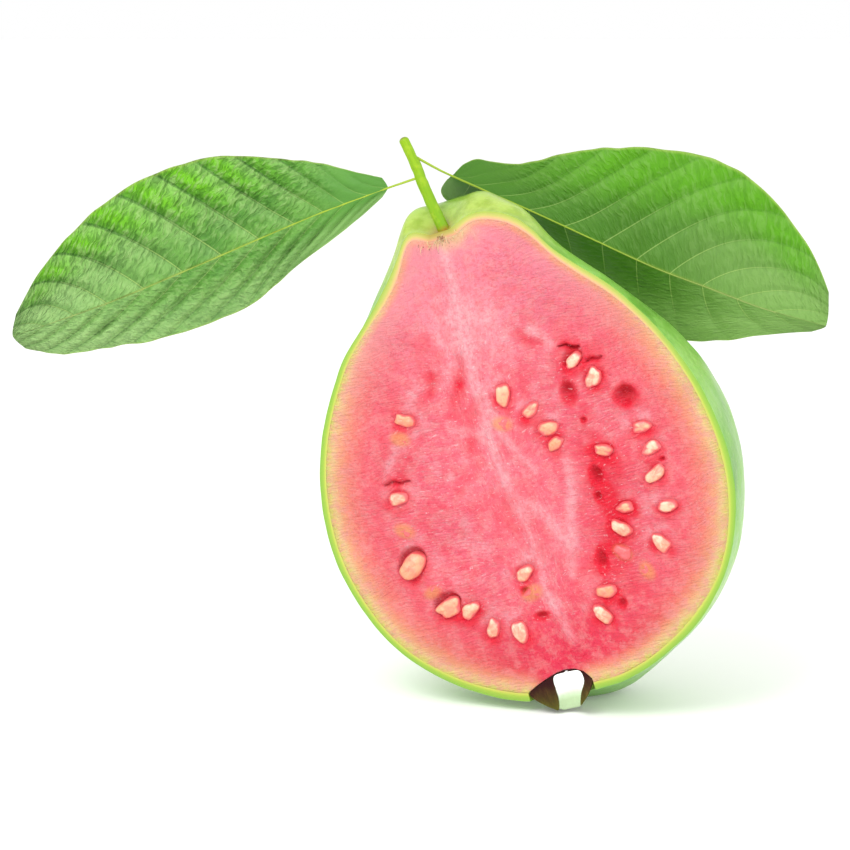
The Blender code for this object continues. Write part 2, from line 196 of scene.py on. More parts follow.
FLESH_TOP, FLESH_FLOOR = 76, 11  # heights of the upper and lower corners of the cut face's grid
BACK_STRIDE = 4

# Calyx: the dry half cup at the blossom end, its section as (bore, share of the rest of the radius, height)
CALYX_AT = (-1.6, 0)  # x and z of its axis on the cut face
CALYX_RADIUS = (6.1, -1.8)  # outside: mean, and how much more it is at the right end
CALYX_LOBES = (3.9, 0.7)  # sepals: mean length, and how much it varies
CALYX_INNER = [(0, 0, 1.75), (1.8, 0, 1.7), (2.6, 0, 1.3), (2.85, 0, 0.3), (2.7, 0, -1), (2.2, 0, -2.6)]
CALYX_TIPS = [(2.1, 0, -1), (2.4, 0.1, -0.95), (2.6, 0.45, -0.7)]  # heights as shares of a sepal's length
CALYX_OUTER = [
    (2.6, 0.8, -1.9),
    (2.6, 1, -0.6),
    (2.6, 0.72, 0.2),
    (2.6, 0.3, 1.1),
    (1.6, 0, 1.95),
    (0, 0, 2.15),
]
CALYX_BACK = 1.2  # how much longer the sepals behind are, which reach the ground
CALYX_HANG = 0.3  # the sepals hang straight down although the fruit leans
CALYX_GAP = 0.12
CALYX_LIFT = 0.3  # its lowest points lie this far above the ground
CALYX_TURNS = 120

# Stem: centre line and radius in the world
STEM_LINE = [
    (-17.2, -9.4, 84.7, 1.5),
    (-17.8, -9.2, 86.6, 1.15),
    (-19.5, -8.4, 90.2, 1.05),
    (-21.3, -7.2, 94, 1.1),
    (-22.7, -6.2, 97.5, 1.25),
    (-24.8, -5, 101.8, 1.15),
]
STEM_RADII = [(0, 1.35), (0.1, 1.15), (0.5, 1), (1, 0.86)]  # along the stem, share of its length first
STEM_NODES = (0.62, 0.8)
STEM_CAP = (0.3, 0.55, 0.78, 0.94)
STEM_SIDES = 40
FIBRES = 22
FIBRE_DRAW = 8

# Leaves: stations from the base to the tip, each with the midrib, upper margin and lower margin in the world
LEFT_LEAF = [
    ((-27.7, -2, 93.2), (-28.4, -2, 94.9), (-28.3, -1.6, 91.9)),
    ((-34.6, 1, 90.4), (-34.2, 1, 95.9), (-34.3, 2.5, 86.2)),
    ((-42, 4, 87.3), (-43.7, 4.5, 97.6), (-44.7, 6, 77.8)),
    ((-53.1, 6, 82.4), (-56.9, 6.5, 98.2), (-54.4, 7.5, 70.2)),
    ((-65.6, 7, 76.9), (-69.8, 8, 95.2), (-67.4, 8.5, 65.2)),
    ((-78, 7, 71.7), (-82, 8, 87.7), (-78.9, 8, 62.7)),
    ((-88.4, 5.5, 68.1), (-91.2, 6.5, 77.7), (-88.6, 6, 61.9)),
    ((-96.5, 4, 65.5), (-96.8, 4, 67.7), (-95.4, 4, 63.5)),
]
RIGHT_LEAF = [
    ((-16.3, -2.5, 95.4), (-15.9, -2.2, 95.8), (-17, -2.2, 95)),
    ((-9.4, 2.4, 91.9), (-12.2, 3.5, 97.8), (-17.3, 5.5, 90.4)),
    ((-0.2, 6.5, 87.5), (-3.8, 8, 96.8), (-3.7, 13.5, 82.6)),
    ((11, 8, 82.2), (9.1, 10.5, 99.1), (6, 17, 74)),
    ((21.2, 8.5, 77.5), (23.5, 11, 99.1), (15.8, 16.5, 67.6)),
    ((31, 8.5, 73.8), (37.7, 11, 94.4), (27.2, 12.5, 63.3)),
    ((41.4, 7.5, 70), (48.8, 9.5, 82.5), (40.7, 9, 64.9)),
    ((52.5, 6, 67.1), (53.8, 7, 71.2), (51.9, 6.5, 66.1)),
]
LEFT_PETIOLE = [(-21.8, -6.8, 95.6), (-24.8, -4.6, 94.4)]
RIGHT_PETIOLE = [(-22.5, -6, 98.9), (-19.1, -4.4, 96.9)]
LEAF_STEPS = 26  # rows for each station
LEAF_HALF = 44  # columns from the midrib to a margin
LEAF_THICKNESS = (0.6, 0.3)  # at the midrib and at the margin
LEAF_LENGTH = 76
LEAF_WIDTH = 15
LEAF_WAVE = 0.7
RIB_RADIUS = (0.26, 0.08)
RIB_SIDES = 10
RIB_SHORT = 10  # steps by which the midrib ends before the tip
# Each leaf: side veins, their shift, how many spacings they run forward (upper, lower half), swelling
LEFT_VEINS = (12.3, -0.02, (2.1, 2.2), 0.9)
RIGHT_VEINS = (11.3, 0.1, (3.3, 1.2), 0.27)
TIP_CUT = 0.035  # how far the corners of a blade's two ends are rounded, as a share of its length
LIGHT_AIM = Vector((0, 0, 0.05))
WHITE = (1, 1, 1, 1)
EXPOSURE = 0.8  # colours are given as seen in the studio's light, which is a little brighter than white


def rise(low, high, value):
    """Smoothly from 0 at low to 1 at high."""
    t = np.clip((value - low) / (high - low), 0, 1)
    return t * t * (3 - 2 * t)


def fall(low, high, value):
    """Smoothly from 1 at low to 0 at high."""
    return 1 - rise(low, high, value)


def bell(value):
    return np.exp(-(value**2))


def smooth_path(points, steps):
    """A Catmull-Rom curve through the points, with this many steps for each span."""
    p = np.array(points, float)
    p = np.vstack([p[:1], p, p[-1:]])
    t = (np.arange(steps) / steps)[:, None]
    spans = []
    for a, b, c, d in zip(p, p[1:], p[2:], p[3:]):
        bend, twist = 2 * a - 5 * b + 4 * c - d, 3 * b - a - 3 * c + d
        spans.append(0.5 * (2 * b + (c - a) * t + bend * t**2 + twist * t**3))
    return np.vstack([*spans, p[-1:]])


def resampled(points, count):
    """The same line with count + 1 points at even distances."""
    points = np.array(points, float)
    run = np.concatenate([[0], np.cumsum(np.linalg.norm(np.diff(points, axis=0), axis=1))])
    at = np.linspace(0, run[-1], count + 1)
    return np.stack([np.interp(at, run, column) for column in points.T], axis=1)


def line_distance(x, z, line):
    """Distance of each point (x, z) from a line."""
    best = np.full(x.shape, 1e9)
    for a, b in zip(line, line[1:]):
        span = b - a
        t = np.clip(((x - a[0]) * span[0] + (z - a[1]) * span[1]) / (span @ span), 0, 1)
        best = np.minimum(best, np.hypot(x - a[0] - t * span[0], z - a[1] - t * span[1]))
    return best


def lumps(points, size, seed):
    """Smooth random values from -1 to 1 at points (n, 3), with lumps of this size."""
    lattice = np.random.default_rng(seed).uniform(-1, 1, (32, 32, 32))
    at = points / size
    cell = np.floor(at).astype(int)
    t = at - cell
    t = t * t * (3 - 2 * t)
    value = np.zeros(len(points))
    for corner in np.ndindex(2, 2, 2):
        weight = np.prod(np.where(corner, t, 1 - t), axis=1)
        i, j, k = ((cell + corner) % 32).T
        value += weight * lattice[i, j, k]
    return value


# From the fruit's own frame in mm to the world in metres: leaned sideways, turned, then set down
TURNED = Matrix.Rotation(-YAW, 4, "Z") @ Matrix.Rotation(-LEAN, 4, "Y")
PLACE = Matrix.Translation(FRUIT_AT) @ TURNED @ Matrix.Scale(MM, 4)


def layered_lumps(points, layers):
    """Lumps of several sizes added up, each layer as (height, size, seed)."""
    return sum(height * lumps(points, size, seed) for height, size, seed in layers)


def placed(points):
    """Points (n, 3) in mm, moved from the fruit's frame to the world."""
    m = np.array(PLACE)
    return points @ m[:3, :3].T + m[:3, 3]


def swell(bearing, height):
    return 1 + 0.006 * np.sin(2 * bearing + 0.7) + 0.004 * np.sin(5 * bearing + height / 9)


def profile(inset):
    """The turned outline, moved inwards by inset, from the crown to the blossom end."""
    path = smooth_path(PROFILE, PROFILE_STEPS)
    along = np.gradient(path[:, :2], axis=0)
    along /= np.linalg.norm(along, axis=1)[:, None]
    path[:, 0] += along[:, 1] * inset
    path[:, 1] -= along[:, 0] * inset
    path[[0, -1], 0] = 0
    return path


def risen(x, y, height):
    """Height of a point of the body, with the crown's slope, the shoulders and the dropped heel."""
    crown = rise(*CROWN_SPAN, height)
    heel = fall(*HEEL_SPAN, height) * bell(np.maximum(0, x) / HEEL_SPREAD)
    z = height + CROWN_SLOPE * crown**2 * np.maximum(0, y - CUT_Y) * fall(*SLOPE_END, x)
    z = z - HEEL_DROP * heel * rise(CUT_Y, CUT_Y + HEEL_REACH, y)
    drop = EDGE_DROP * rise(*EDGE_SPAN, height) * (1 + rise(*EDGE_DOUBLE, -x))
    z = z - drop * bell((y - CUT_Y) / EDGE_SPREAD)
    for bump_x, bump_y, spread, lift in SHOULDERS:
        z = z + lift * crown * bell(np.hypot(x - bump_x, y - bump_y) / spread)
    return z


def shaped(radius, height, behind, bearing):
    """A point of the turned body in the fruit's frame."""
    reach = radius * swell(bearing, height)
    x, y = reach * np.cos(bearing), reach * np.sin(bearing) + behind
    crown = rise(*CROWN_SPAN, height)
    x = x + crown * (DIMPLE_X * fall(5, 15, radius) + CROWN_X * bell((radius - 12) / 5))
    return x, y, risen(x, y, height)


def cut_bearings(path):
    """Bearings at which each ring of the outline meets the cut face, on the right and on the left."""
    radius, height, behind = path.T
    ends = []
    for left in (False, True):
        bearing = np.full(len(path), math.pi if left else 0)
        for _ in range(6):
            sine = np.clip((CUT_Y - behind) / np.maximum(radius * swell(bearing, height), 1e-6), -1, 1)
            bearing = math.pi - np.arcsin(sine) if left else np.arcsin(sine)
        ends.append(bearing)
    return ends


def ring_span():
    """Numbers of the first and last ring that the knife cut between the crown and the blossom end."""
    radius, height = profile(0).T[:2]
    first = int(np.argmax(radius > CROWN_RING))
    last = int(np.argmax((radius < BLOSSOM_RING) & (height < 30)))
    return first, last


def body_rings(inset):
    """The body behind the cut face as a grid of points: rings from the crown, each from right to left."""
    path = profile(inset)
    right, left = cut_bearings(path)
    share = np.linspace(0, 1, SKIN_TURNS + 1)
    bearing = right[:, None] + (left - right)[:, None] * share
    radius, height, behind = (path[:, i, None] for i in range(3))
    x, y, z = shaped(radius, height, behind, bearing)
    y[:, [0, -1]] = CUT_Y
    first, last = ring_span()
    grid = np.stack([x, y, z], axis=-1)[first : last + 1]
    return np.concatenate([grid, calyx_rings(path, grid[-1])])


def calyx_rings(path, start):
    """Rings that draw the blossom end in to the rim of the calyx."""
    low = path[path[:, 1] < 15][::-1]
    turn = np.linspace(0, math.pi, SKIN_TURNS + 1)
    reach = CALYX_RADIUS[0] + CALYX_RADIUS[1] * np.cos(turn) + CALYX_GAP
    loop = np.stack([CALYX_AT[0] + reach * np.cos(turn), CUT_Y + reach * np.sin(turn)], axis=1)
    rings = []
    for i in range(1, CALYX_RINGS + 1):
        x, y = (start[:, :2] + (loop - start[:, :2]) * i / CALYX_RINGS).T
        height = np.interp(np.hypot(x, y) / swell(np.arctan2(y, x), 0), low[:, 0], low[:, 1])
        rings.append(np.stack([x, y, risen(x, y, height)], axis=1))
    return np.array(rings)


def linked(name, data):
    """A new object in the scene."""
    thing = bpy.data.objects.new(name, data)
    bpy.context.scene.collection.objects.link(thing)
    return thing


def solid(name, points, faces, attributes, material, node=None, sharp=None):
    """A closed piece in the world, riding on the fruit, with its attributes and material."""
    mesh = bpy.data.meshes.new(name)
    mesh.from_pydata(np.asarray(points).tolist(), [], [list(map(int, face)) for face in faces])
    for key, values in attributes.items():
        values = np.asarray(values, np.float32)
        kind, field = ("FLOAT_VECTOR", "vector") if values.ndim == 2 else ("FLOAT", "value")
        mesh.attributes.new(key, kind, "POINT").data.foreach_set(field, values.ravel())
    shell = bmesh.new()
    shell.from_mesh(mesh)
    bmesh.ops.recalc_face_normals(shell, faces=shell.faces)
    shell.to_mesh(mesh)
    shell.free()
    mesh.shade_smooth()
    if sharp:
        mesh.set_sharp_from_angle(angle=math.radians(sharp))
    mesh.materials.append(material)
    piece = linked(name, mesh)
    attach(piece, "root")
    if node:
        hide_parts(node)


def grid_faces(rows, columns, start=0, closed=False):
    """Quads between the points of a grid, with its columns joined round if closed."""
    faces = []
    for i in range(rows - 1):
        for j in range(columns if closed else columns - 1):
            a, b = start + i * columns + j, start + i * columns + (j + 1) % columns
            faces.append((a, b, b + columns, a + columns))
    return faces


def loop_faces(one, other):
    """Quads between two loops of points of the same length."""
    around = range(-1, len(one) - 1)
    return [(one[i], one[i + 1], other[i + 1], other[i]) for i in around]


def joined(parts):
    """Several lots of (points, faces) as one."""
    points, faces, start = [], [], 0
    for spots, sides in parts:
        points.append(spots)
        faces += [tuple(v + start for v in face) for face in sides]
        start += len(spots)
    return np.vstack(points), faces


class Graph:
    """A material whose nodes are added by short calls, each giving back the node's output."""

    def __init__(self, name):
        self.material = bpy.data.materials.new(name)
        self.material.use_nodes = True
        self.tree = self.material.node_tree
        self.shader = self.tree.nodes["Principled BSDF"]

    def put(self, socket, value):
        """Links a socket to an output or, by its name, to an attribute, or sets it to a value or colour."""
        if isinstance(value, str):
            value = self.attribute(value)
        if isinstance(value, bpy.types.NodeSocket):
            self.tree.links.new(value, socket)
        elif value is not None:
            seen = socket.type == "RGBA" and len(value) == 3
            socket.default_value = srgb(*value) if seen else value

    def add(self, kind, inputs, out=0, **settings):
        node = self.tree.nodes.new(kind)
        for key, value in settings.items():
            setattr(node, key, value)
        for key, value in inputs.items():
            self.put(node.inputs[key], value)
        return node.outputs[out]

    def surface(self, **inputs):
        for key, value in inputs.items():
            self.put(self.shader.inputs[key.replace("_", " ")], value)

    def subsurface(self, weight, reach, radius):
        """Light that enters the surface and comes out within about this reach in mm."""
        self.surface(Subsurface_Weight=weight, Subsurface_Scale=reach * MM, Subsurface_Radius=radius)

    def attribute(self, name, out="Fac"):
        return self.add("ShaderNodeAttribute", {}, out, attribute_name=name)

    def scaled(self, vector, scale):
        return self.add("ShaderNodeVectorMath", {0: vector, 1: scale}, operation="MULTIPLY")

    def noise(self, vector, scale, detail=2, roughness=0.5, distortion=0):
        inputs = {"Vector": vector, "Scale": scale, "Detail": detail}
        inputs |= {"Roughness": roughness, "Distortion": distortion}
        return self.add("ShaderNodeTexNoise", inputs, "Fac")

    def cells(self, vector, scale):
        return self.add("ShaderNodeTexVoronoi", {"Vector": vector, "Scale": scale}, "Distance")

    def math(self, operation, a, b=None, c=None):
        inputs = {i: v for i, v in enumerate((a, b, c)) if v is not None}
        return self.add("ShaderNodeMath", inputs, operation=operation)

    def times(self, a, b):
        return self.math("MULTIPLY", a, b)

    def between(self, value, low, high, to_low=0, to_high=1):
        inputs = {"Value": value, "From Min": low, "From Max": high, "To Min": to_low, "To Max": to_high}
        return self.add("ShaderNodeMapRange", inputs, interpolation_type="SMOOTHSTEP")

    def mix(self, share, a, b):
        return self.add("ShaderNodeMix", {0: share, 6: a, 7: b}, 2, data_type="RGBA")

    def layers(self, color, *tints):
        """A colour with tints laid over it in turn, each as (share, colour)."""
        for share, tint in tints:
            color = self.mix(share, color, tint)
        return color

    def ramp(self, share, stops):
        node = self.tree.nodes.new("ShaderNodeValToRGB")
        elements = node.color_ramp.elements
        while len(elements) < len(stops):
            elements.new(0.5)
        for element, (at, color) in zip(elements, stops):
            element.position = at
            element.color = srgb(*color)
        self.put(node.inputs["Fac"], share)
        return node.outputs["Color"]

    def bump(self, height, distance, strength=1, normal=None):
        inputs = {"Height": height, "Distance": distance * MM, "Strength": strength, "Normal": normal}
        return self.add("ShaderNodeBump", inputs)


def srgb(red, green, blue):
    """A linear colour from the 0 to 255 values that it should show."""
    return (*(EXPOSURE * ((v / 255 + 0.055) / 1.055) ** 2.4 for v in (red, green, blue)), 1)


def flesh_material():
    g = Graph("guava_flesh")
    spot = g.attribute("spot", "Vector")
    fibre = g.attribute("fibre", "Vector")
    wander = g.math("MULTIPLY_ADD", g.noise(spot, 0.22, 3), 1.4, -0.7)
    depth = g.math("MULTIPLY_ADD", "top", 2.4, g.math("ADD", "edge", wander))
    zones = g.ramp(
        g.math("DIVIDE", depth, 20),
        [
            (0, (216, 216, 94)),
            (0.025, (232, 216, 122)),
            (0.06, (246, 208, 148)),
            (0.12, (251, 176, 134)),
            (0.22, (253, 144, 128)),
            (0.38, (254, 114, 128)),
            (1, (254, 106, 130)),
        ],
    )
    blotch = g.between(g.noise(spot, 0.42, 6, 0.7), 0.44, 0.6)
    streak = g.noise(g.scaled(fibre, (0.35, 2.8, 1)), 1, 4, 0.65, 0.6)
    strand = g.noise(g.scaled(fibre, (2.4, 0.3, 1)), 1, 4, 0.65, 0.5)
    thread = g.mix("core", streak, strand)
    threads = g.times(g.between(thread, 0.5, 0.7), "inner")
    grain = g.times(g.between(g.noise(spot, 1.2, 6, 0.8), 0.46, 0.58), g.between("edge", 1.5, 6))
    # Painted highlights: small pale pink wet glints over the inner flesh
    wet_glint = g.between(g.noise(g.scaled(fibre, (1, 2.2, 1)), 1, 5, 0.75, 0.5), 0.58, 0.68)
    speck = g.between(g.cells(spot, 1.7), 0.12, 0.24, 1, 0)
    color = g.layers(
        zones,
        ("low", (238, 34, 80)),
        ("high", (250, 142, 164)),
        (g.times(blotch, 0.5), (252, 160, 160)),
        (g.times("pale", 0.75), (254, 190, 198)),
        (g.times(threads, 0.55), (254, 186, 190)),
        ("red", (248, 32, 60)),
        # Painted shade: deep red laid into the bottoms of sockets, slits and crescents
        ("hollow_shade", (206, 0, 26)),
        (g.times(grain, 0.34), (244, 56, 84)),
        (g.times(wet_glint, g.times("inner", 0.8)), (255, 214, 218)),
        ("film", (251, 158, 104)),
        ("stalk", (246, 208, 156)),
        (g.times(speck, "specks"), (112, 68, 28)),
    )
    wet = g.math("MULTIPLY_ADD", thread, 1.2, g.noise(spot, 1.1, 5, 0.75))
    droplets = g.bump(g.between(g.cells(spot, 2.2), 0, 0.5, 1, 0), 0.08, 0.7)
    wetness = g.between(g.noise(spot, 0.9, 3), 0.3, 0.7, 0.24, 0.48)
    rough = g.math("MULTIPLY_ADD", "hollow_shade", 0.4, wetness)
    g.surface(Base_Color=color, Roughness=rough, IOR=1.38, Normal=g.bump(wet, 0.5, 0.95, droplets))
    g.subsurface(0.3, 1, (1, 0.35, 0.3))
    return g.material


def seed_material():
    g = Graph("guava_seed")
    at = g.attribute("at", "Vector")
    # Each seed's own random colour, made paler towards its top by painted light
    tone_and_top_light = g.ramp("tone_and_top_light", [(0, (247, 156, 112)), (0.45, (250, 192, 150)), (1, (254, 230, 204))])
    mottle = g.between(g.noise(at, 0.7, 4, 0.6), 0.42, 0.62, 0, 0.75)
    rim = g.math("ADD", "foot", g.math("MULTIPLY_ADD", g.noise(at, 0.55, 4, 0.6), 1.6, -0.8))
    color = g.layers(tone_and_top_light, (mottle, (250, 148, 124)), (g.between(rim, 0.1, 0.8), (250, 108, 112)))
    normal = g.bump(g.noise(at, 1.6, 4, 0.6), 0.25, 0.8)
    g.surface(Base_Color=color, Roughness=0.3, Normal=normal, Coat_Weight=0.25, Coat_Roughness=0.12)
    g.subsurface(0.25, 0.9, (1, 0.5, 0.3))
    return g.material


def skin_material():
    g = Graph("guava_skin")
    at = g.attribute("at", "Vector")
    greens = [(0.3, (96, 160, 40)), (0.45, (124, 190, 62)), (0.58, (148, 206, 88)), (0.75, (174, 218, 116))]
    mottle = g.between(g.noise(at, 0.28, 5, 0.65), 0.42, 0.66)
    fine = g.between(g.noise(at, 1.3, 4, 0.6), 0.45, 0.7)
    pores = g.between(g.cells(at, 0.62), 0.05, 0.16, 1, 0)
    scar = g.between(g.noise(g.scaled(at, (1, 1, 0.4)), 0.5, 5, 0.75), 0.66, 0.76)
    ripe = g.mix(g.between(g.noise(at, 0.3, 4, 0.6), 0.38, 0.62), (162, 188, 52), (192, 216, 92))
    side = g.ramp("rim", [(0, (130, 184, 58)), (0.6, (164, 200, 60)), (1, (216, 216, 94))])
    high = g.ramp("rim", [(0, (166, 192, 68)), (0.5, (206, 202, 104)), (0.95, (248, 178, 144))])
    color = g.layers(
        g.ramp(g.noise(at, 0.055, 4, 0.55, 0.6), greens),
        (g.times(mottle, 0.45), (158, 214, 104)),
        (g.times(fine, 0.3), (98, 162, 48)),
        (g.times(pores, 0.5), (196, 222, 132)),
        ("crown", ripe),
        (g.times(scar, 0.5), (156, 138, 62)),
        (g.between("rim", 0, 0.06), g.mix("top", side, high)),
        ("stalk", (170, 84, 26)),
    )
    dimples = g.bump(g.noise(at, 0.55, 3), 0.22, 0.8)
    normal = g.bump(g.math("SUBTRACT", g.noise(at, 2.4, 3, 0.6), pores), 0.05, 0.8, dimples)
    rough = g.between(mottle, 0, 1, 0.32, 0.46)
    g.surface(Base_Color=color, Roughness=rough, Normal=normal, Coat_Weight=0.15, Coat_Roughness=0.25)
    g.subsurface(0.12, 1.2, (0.5, 1, 0.3))
    return g.material


def calyx_material():
    g = Graph("guava_calyx")
    at = g.attribute("at", "Vector")
    browns = [(0.3, (44, 20, 10)), (0.5, (78, 50, 20)), (0.72, (116, 88, 40))]
    bark = g.ramp(g.noise(g.scaled(at, (1, 1, 0.35)), 1.2, 5, 0.7), browns)
    # Painted glow: the inner back wall of the cup is glowing white, as if the white surround showed through,
    # and turns green towards the bottom as painted floor shade
    painted_glow = g.mix("low", (0.95, 1, 0.98, 1), (0.36, 0.47, 0.28, 1))
    # Over the bark: olive towards the lower ends, near-black red painted shade on the upper parts of the cup,
    # and the painted glow of the back wall
    color = g.layers(bark, ("low", (92, 92, 26)), ("basin_shade", (50, 6, 8)), ("painted_glow", painted_glow))
    normal = g.bump(g.noise(g.scaled(at, (1, 1, 0.3)), 2.4, 4, 0.7), 0.3, 0.9)
    g.surface(Base_Color=color, Roughness=0.75, Specular_IOR_Level=0.2, Normal=normal)
    # The back wall glows: painted light from no lamp
    g.surface(Emission_Color=color, Emission_Strength=g.times("painted_glow", 0.5))
    return g.material


def stem_material():
    g = Graph("guava_stem")
    at = g.attribute("at", "Vector")
    stripe = g.attribute("stripe", "Vector")
    greens = [(0, (190, 90, 24)), (0.17, (184, 116, 30)), (0.24, (132, 182, 6)), (1, (152, 194, 10))]
    color = g.layers(
        g.ramp("along", greens),
        (g.times(g.between(g.noise(stripe, 1, 4, 0.6), 0.4, 0.68), 0.5), (118, 168, 10)),
        (g.between(g.noise(at, 0.7, 3), 0.5, 0.68, 0, 0.3), (186, 212, 48)),
        ("cut", (128, 140, 40)),
    )
    normal = g.bump(g.noise(stripe, 1.6, 4), 0.14, 0.8)
    g.surface(Base_Color=color, Roughness=0.42, Specular_IOR_Level=0.3, Normal=normal)
    g.subsurface(0.08, 0.8, (1, 0.2, 0.1))
    return g.material


def leaf_material(name, deep, middle, lit_margin, grey):
    g = Graph(name)
    flat = g.attribute("flat", "Vector")
    ragged = g.math("MULTIPLY_ADD", g.noise(g.scaled(flat, (0.3, 1.3, 1)), 1), 0.3, -0.15)
    field = g.math("FRACT", g.math("ADD", "vein", ragged))
    near = g.math("PINGPONG", "vein", 0.5)
    wobble = g.add("ShaderNodeTexNoise", {"Vector": flat, "Scale": 0.5}, 1)
    warped = g.add("ShaderNodeVectorMath", {0: flat, 1: g.scaled(wobble, (1.6, 1.6, 1.6))})
    crinkle = g.noise(g.scaled(warped, (0.5, 1.7, 1)), 1)
    # Painted shade in the creases of the crinkles and a painted highlight on their ridges, besides their bump
    crease_shade = g.times(g.between(crinkle, 0.52, 0.62), "rough")
    ridge = g.times(g.between(crinkle, 0.48, 0.38), "rough")
    vein = g.times(g.between(near, 0, 0.026, 1, 0), g.between("across", 0.15, 0.75, 1, 0))
    banded = g.layers(
        middle,
        (g.between(g.noise(flat, 0.12, 3), 0.35, 0.65), deep),
        ("base", deep),
        # Painted light: brighter yellow-green towards the upper margin
        ("lit_margin", lit_margin),
        ("grey", grey),
        # Painted light just past each side vein and painted shade before the next, shading the swellings
        # between them
        (g.times(g.between(field, 0.1, 0.6, 1, 0), g.times("rough", 0.55)), grey),
        (g.times(g.between(field, 0.6, 0.96), g.times("rough", 0.65)), deep),
    )
    color = g.layers(
        banded,
        # Painted shade in the crinkles' creases and a painted highlight on their ridges
        (g.times(crease_shade, 0.75), g.mix(0.6, banded, (12, 76, 0))),
        (g.times(ridge, 0.45), (180, 218, 136)),
        # Painted shadow: a thin line of deep green beside each side vein
        (g.times(g.between(near, 0.02, 0.07, 1, 0), g.times("rough", 0.6)), (30, 84, 22)),
        (g.times(vein, 0.8), (176, 212, 112)),
        ("rib", g.mix("grey", (186, 214, 66), (172, 196, 112))),
        (g.between("across", 0.965, 1, 0, 0.7), (176, 210, 96)),
    )
    relief = g.times(g.math("MULTIPLY_ADD", crinkle, -2.4, g.between(near, 0, 0.3)), "rough")
    normal = g.bump(relief, 0.9, 0.9, g.bump(g.noise(flat, 1.6, 3, 0.6), 0.15, 0.6))
    g.surface(Base_Color=color, Roughness=0.5, Specular_IOR_Level=0.3, Normal=normal)
    translucent = g.add("ShaderNodeBsdfTranslucent", {"Color": g.mix(0.5, color, (150, 214, 40))})
    blend = g.add("ShaderNodeMixShader", {0: 0.15, 1: g.shader.outputs[0], 2: translucent})
    g.put(g.tree.nodes["Material Output"].inputs["Surface"], blend)
    return g.material


def fibre_material():
    g = Graph("stem_fibre")
    browns = [(0.3, (112, 74, 36)), (0.44, (240, 212, 160))]
    g.surface(Base_Color=g.ramp(g.noise(g.attribute("at", "Vector"), 0.6), browns), Roughness=0.8)
    return g.material


def seed_poses():
    """Where each seed lies on the cut face: row, number, middle, turn, size and whether it is buried."""
    rng = random.Random(SEED_DRAW)
    for row, (path, count, large, buried) in SEED_ROWS.items():
        line = smooth_path(path, 8)
        for i in range(count):
            share = i / max(1, count - 1) * (len(line) - 1)
            k = min(int(share), len(line) - 2)
            here = line[k] + (line[k + 1] - line[k]) * (share - k)
            along = line[k + 1] - line[k]
            turn = math.atan2(along[1], along[0]) - math.pi / 2 + rng.uniform(-0.5, 0.5)
            size = (LARGE_SEED if i in large else 1) * rng.uniform(0.88, 1.1)
            spot = here + np.array([rng.uniform(-0.3, 0.3), rng.uniform(-0.3, 0.3)])
            yield row, i, spot, turn, size, i in buried


def turned(x, z, spot, turn):
    """How far points of the cut face lie along and aside of a line through a spot, turned by an angle."""
    dx, dz = x - spot[0], z - spot[1]
    return dx * math.cos(turn) + dz * math.sin(turn), dz * math.cos(turn) - dx * math.sin(turn)


def seed_reach(x, z, spot, turn, size, grow=0, shift=0):
    """How far each point is from a seed's middle on the cut face, as a share of the seed's reach there."""
    across, along = turned(x, z - shift, spot, turn)
    return np.hypot(across / (SEED_SIZE[0] * size / 2 + grow), along / (SEED_SIZE[2] * size / 2 + grow))


def cut_outline():
    """Outline of the flesh on the cut face: left and right sides from crown to blossom end, and the notch."""
    path = profile(SKIN)
    radius, height, behind = path.T
    first = ring_span()[0]
    sides = []
    for bearing in cut_bearings(path):
        x, y, z = shaped(radius, height, behind, bearing)
        sides.append(np.stack([x, z], axis=1)[first:])
    right, left = sides
    notch = [[], []]
    for side, sign in zip(notch, (-1, 1)):
        radius = CALYX_RADIUS[0] + CALYX_RADIUS[1] * sign
        side.append((CALYX_AT[0] + sign * (radius + CALYX_GAP), -1.2))
        for bore, share, lift in CALYX_OUTER[1:]:
            reach = bore + share * (radius - bore)
            side.append((CALYX_AT[0] + sign * (reach + (CALYX_GAP if bore else 0)), lift + CALYX_GAP))
    dome = np.array(notch[0] + notch[1][-2::-1])
    left = left[(left[:, 1] > 10) | (left[:, 0] < dome[0, 0])]
    right = right[(right[:, 1] > 10) | (right[:, 0] > dome[-1, 0])]
    return left, right, dome


def flesh_grid():
    """Points (x, z) of the cut face, drawn between its four borders."""
    left, right, dome = cut_outline()
    top_left = next(i for i in range(10, len(left)) if left[i, 1] < FLESH_TOP)
    top_right = next(i for i in range(10, len(right)) if right[i, 1] < FLESH_TOP)
    low_left = next(i for i in range(len(left)) if left[i, 1] < FLESH_FLOOR)
    low_right = next(i for i in range(len(right)) if right[i, 1] < FLESH_FLOOR)
    crown = resampled(np.vstack([left[top_left::-1], right[: top_right + 1]]), FLESH_ACROSS)
    floor = resampled(np.vstack([left[low_left:], dome, right[: low_right - 1 : -1]]), FLESH_ACROSS)
    west = resampled(left[top_left : low_left + 1], FLESH_DOWN)
    east = resampled(right[top_right : low_right + 1], FLESH_DOWN)
    u = np.linspace(0, 1, FLESH_ACROSS + 1)[None, :, None]
    v = np.linspace(0, 1, FLESH_DOWN + 1)[:, None, None]
    ruled = (1 - v) * crown[None] + v * floor[None] + (1 - u) * west[:, None] + u * east[:, None]
    corners = (1 - v) * ((1 - u) * crown[0] + u * crown[-1]) + v * ((1 - u) * floor[0] + u * floor[-1])
    return ruled - corners


def border_distance(x, z):
    """Distance of each point of the cut face from its rim."""
    far = np.full(x.shape, 1e9)
    for rim_x, rim_z in np.vstack(cut_outline()[:2]):
        far = np.minimum(far, np.hypot(x - rim_x, z - rim_z))
    return far


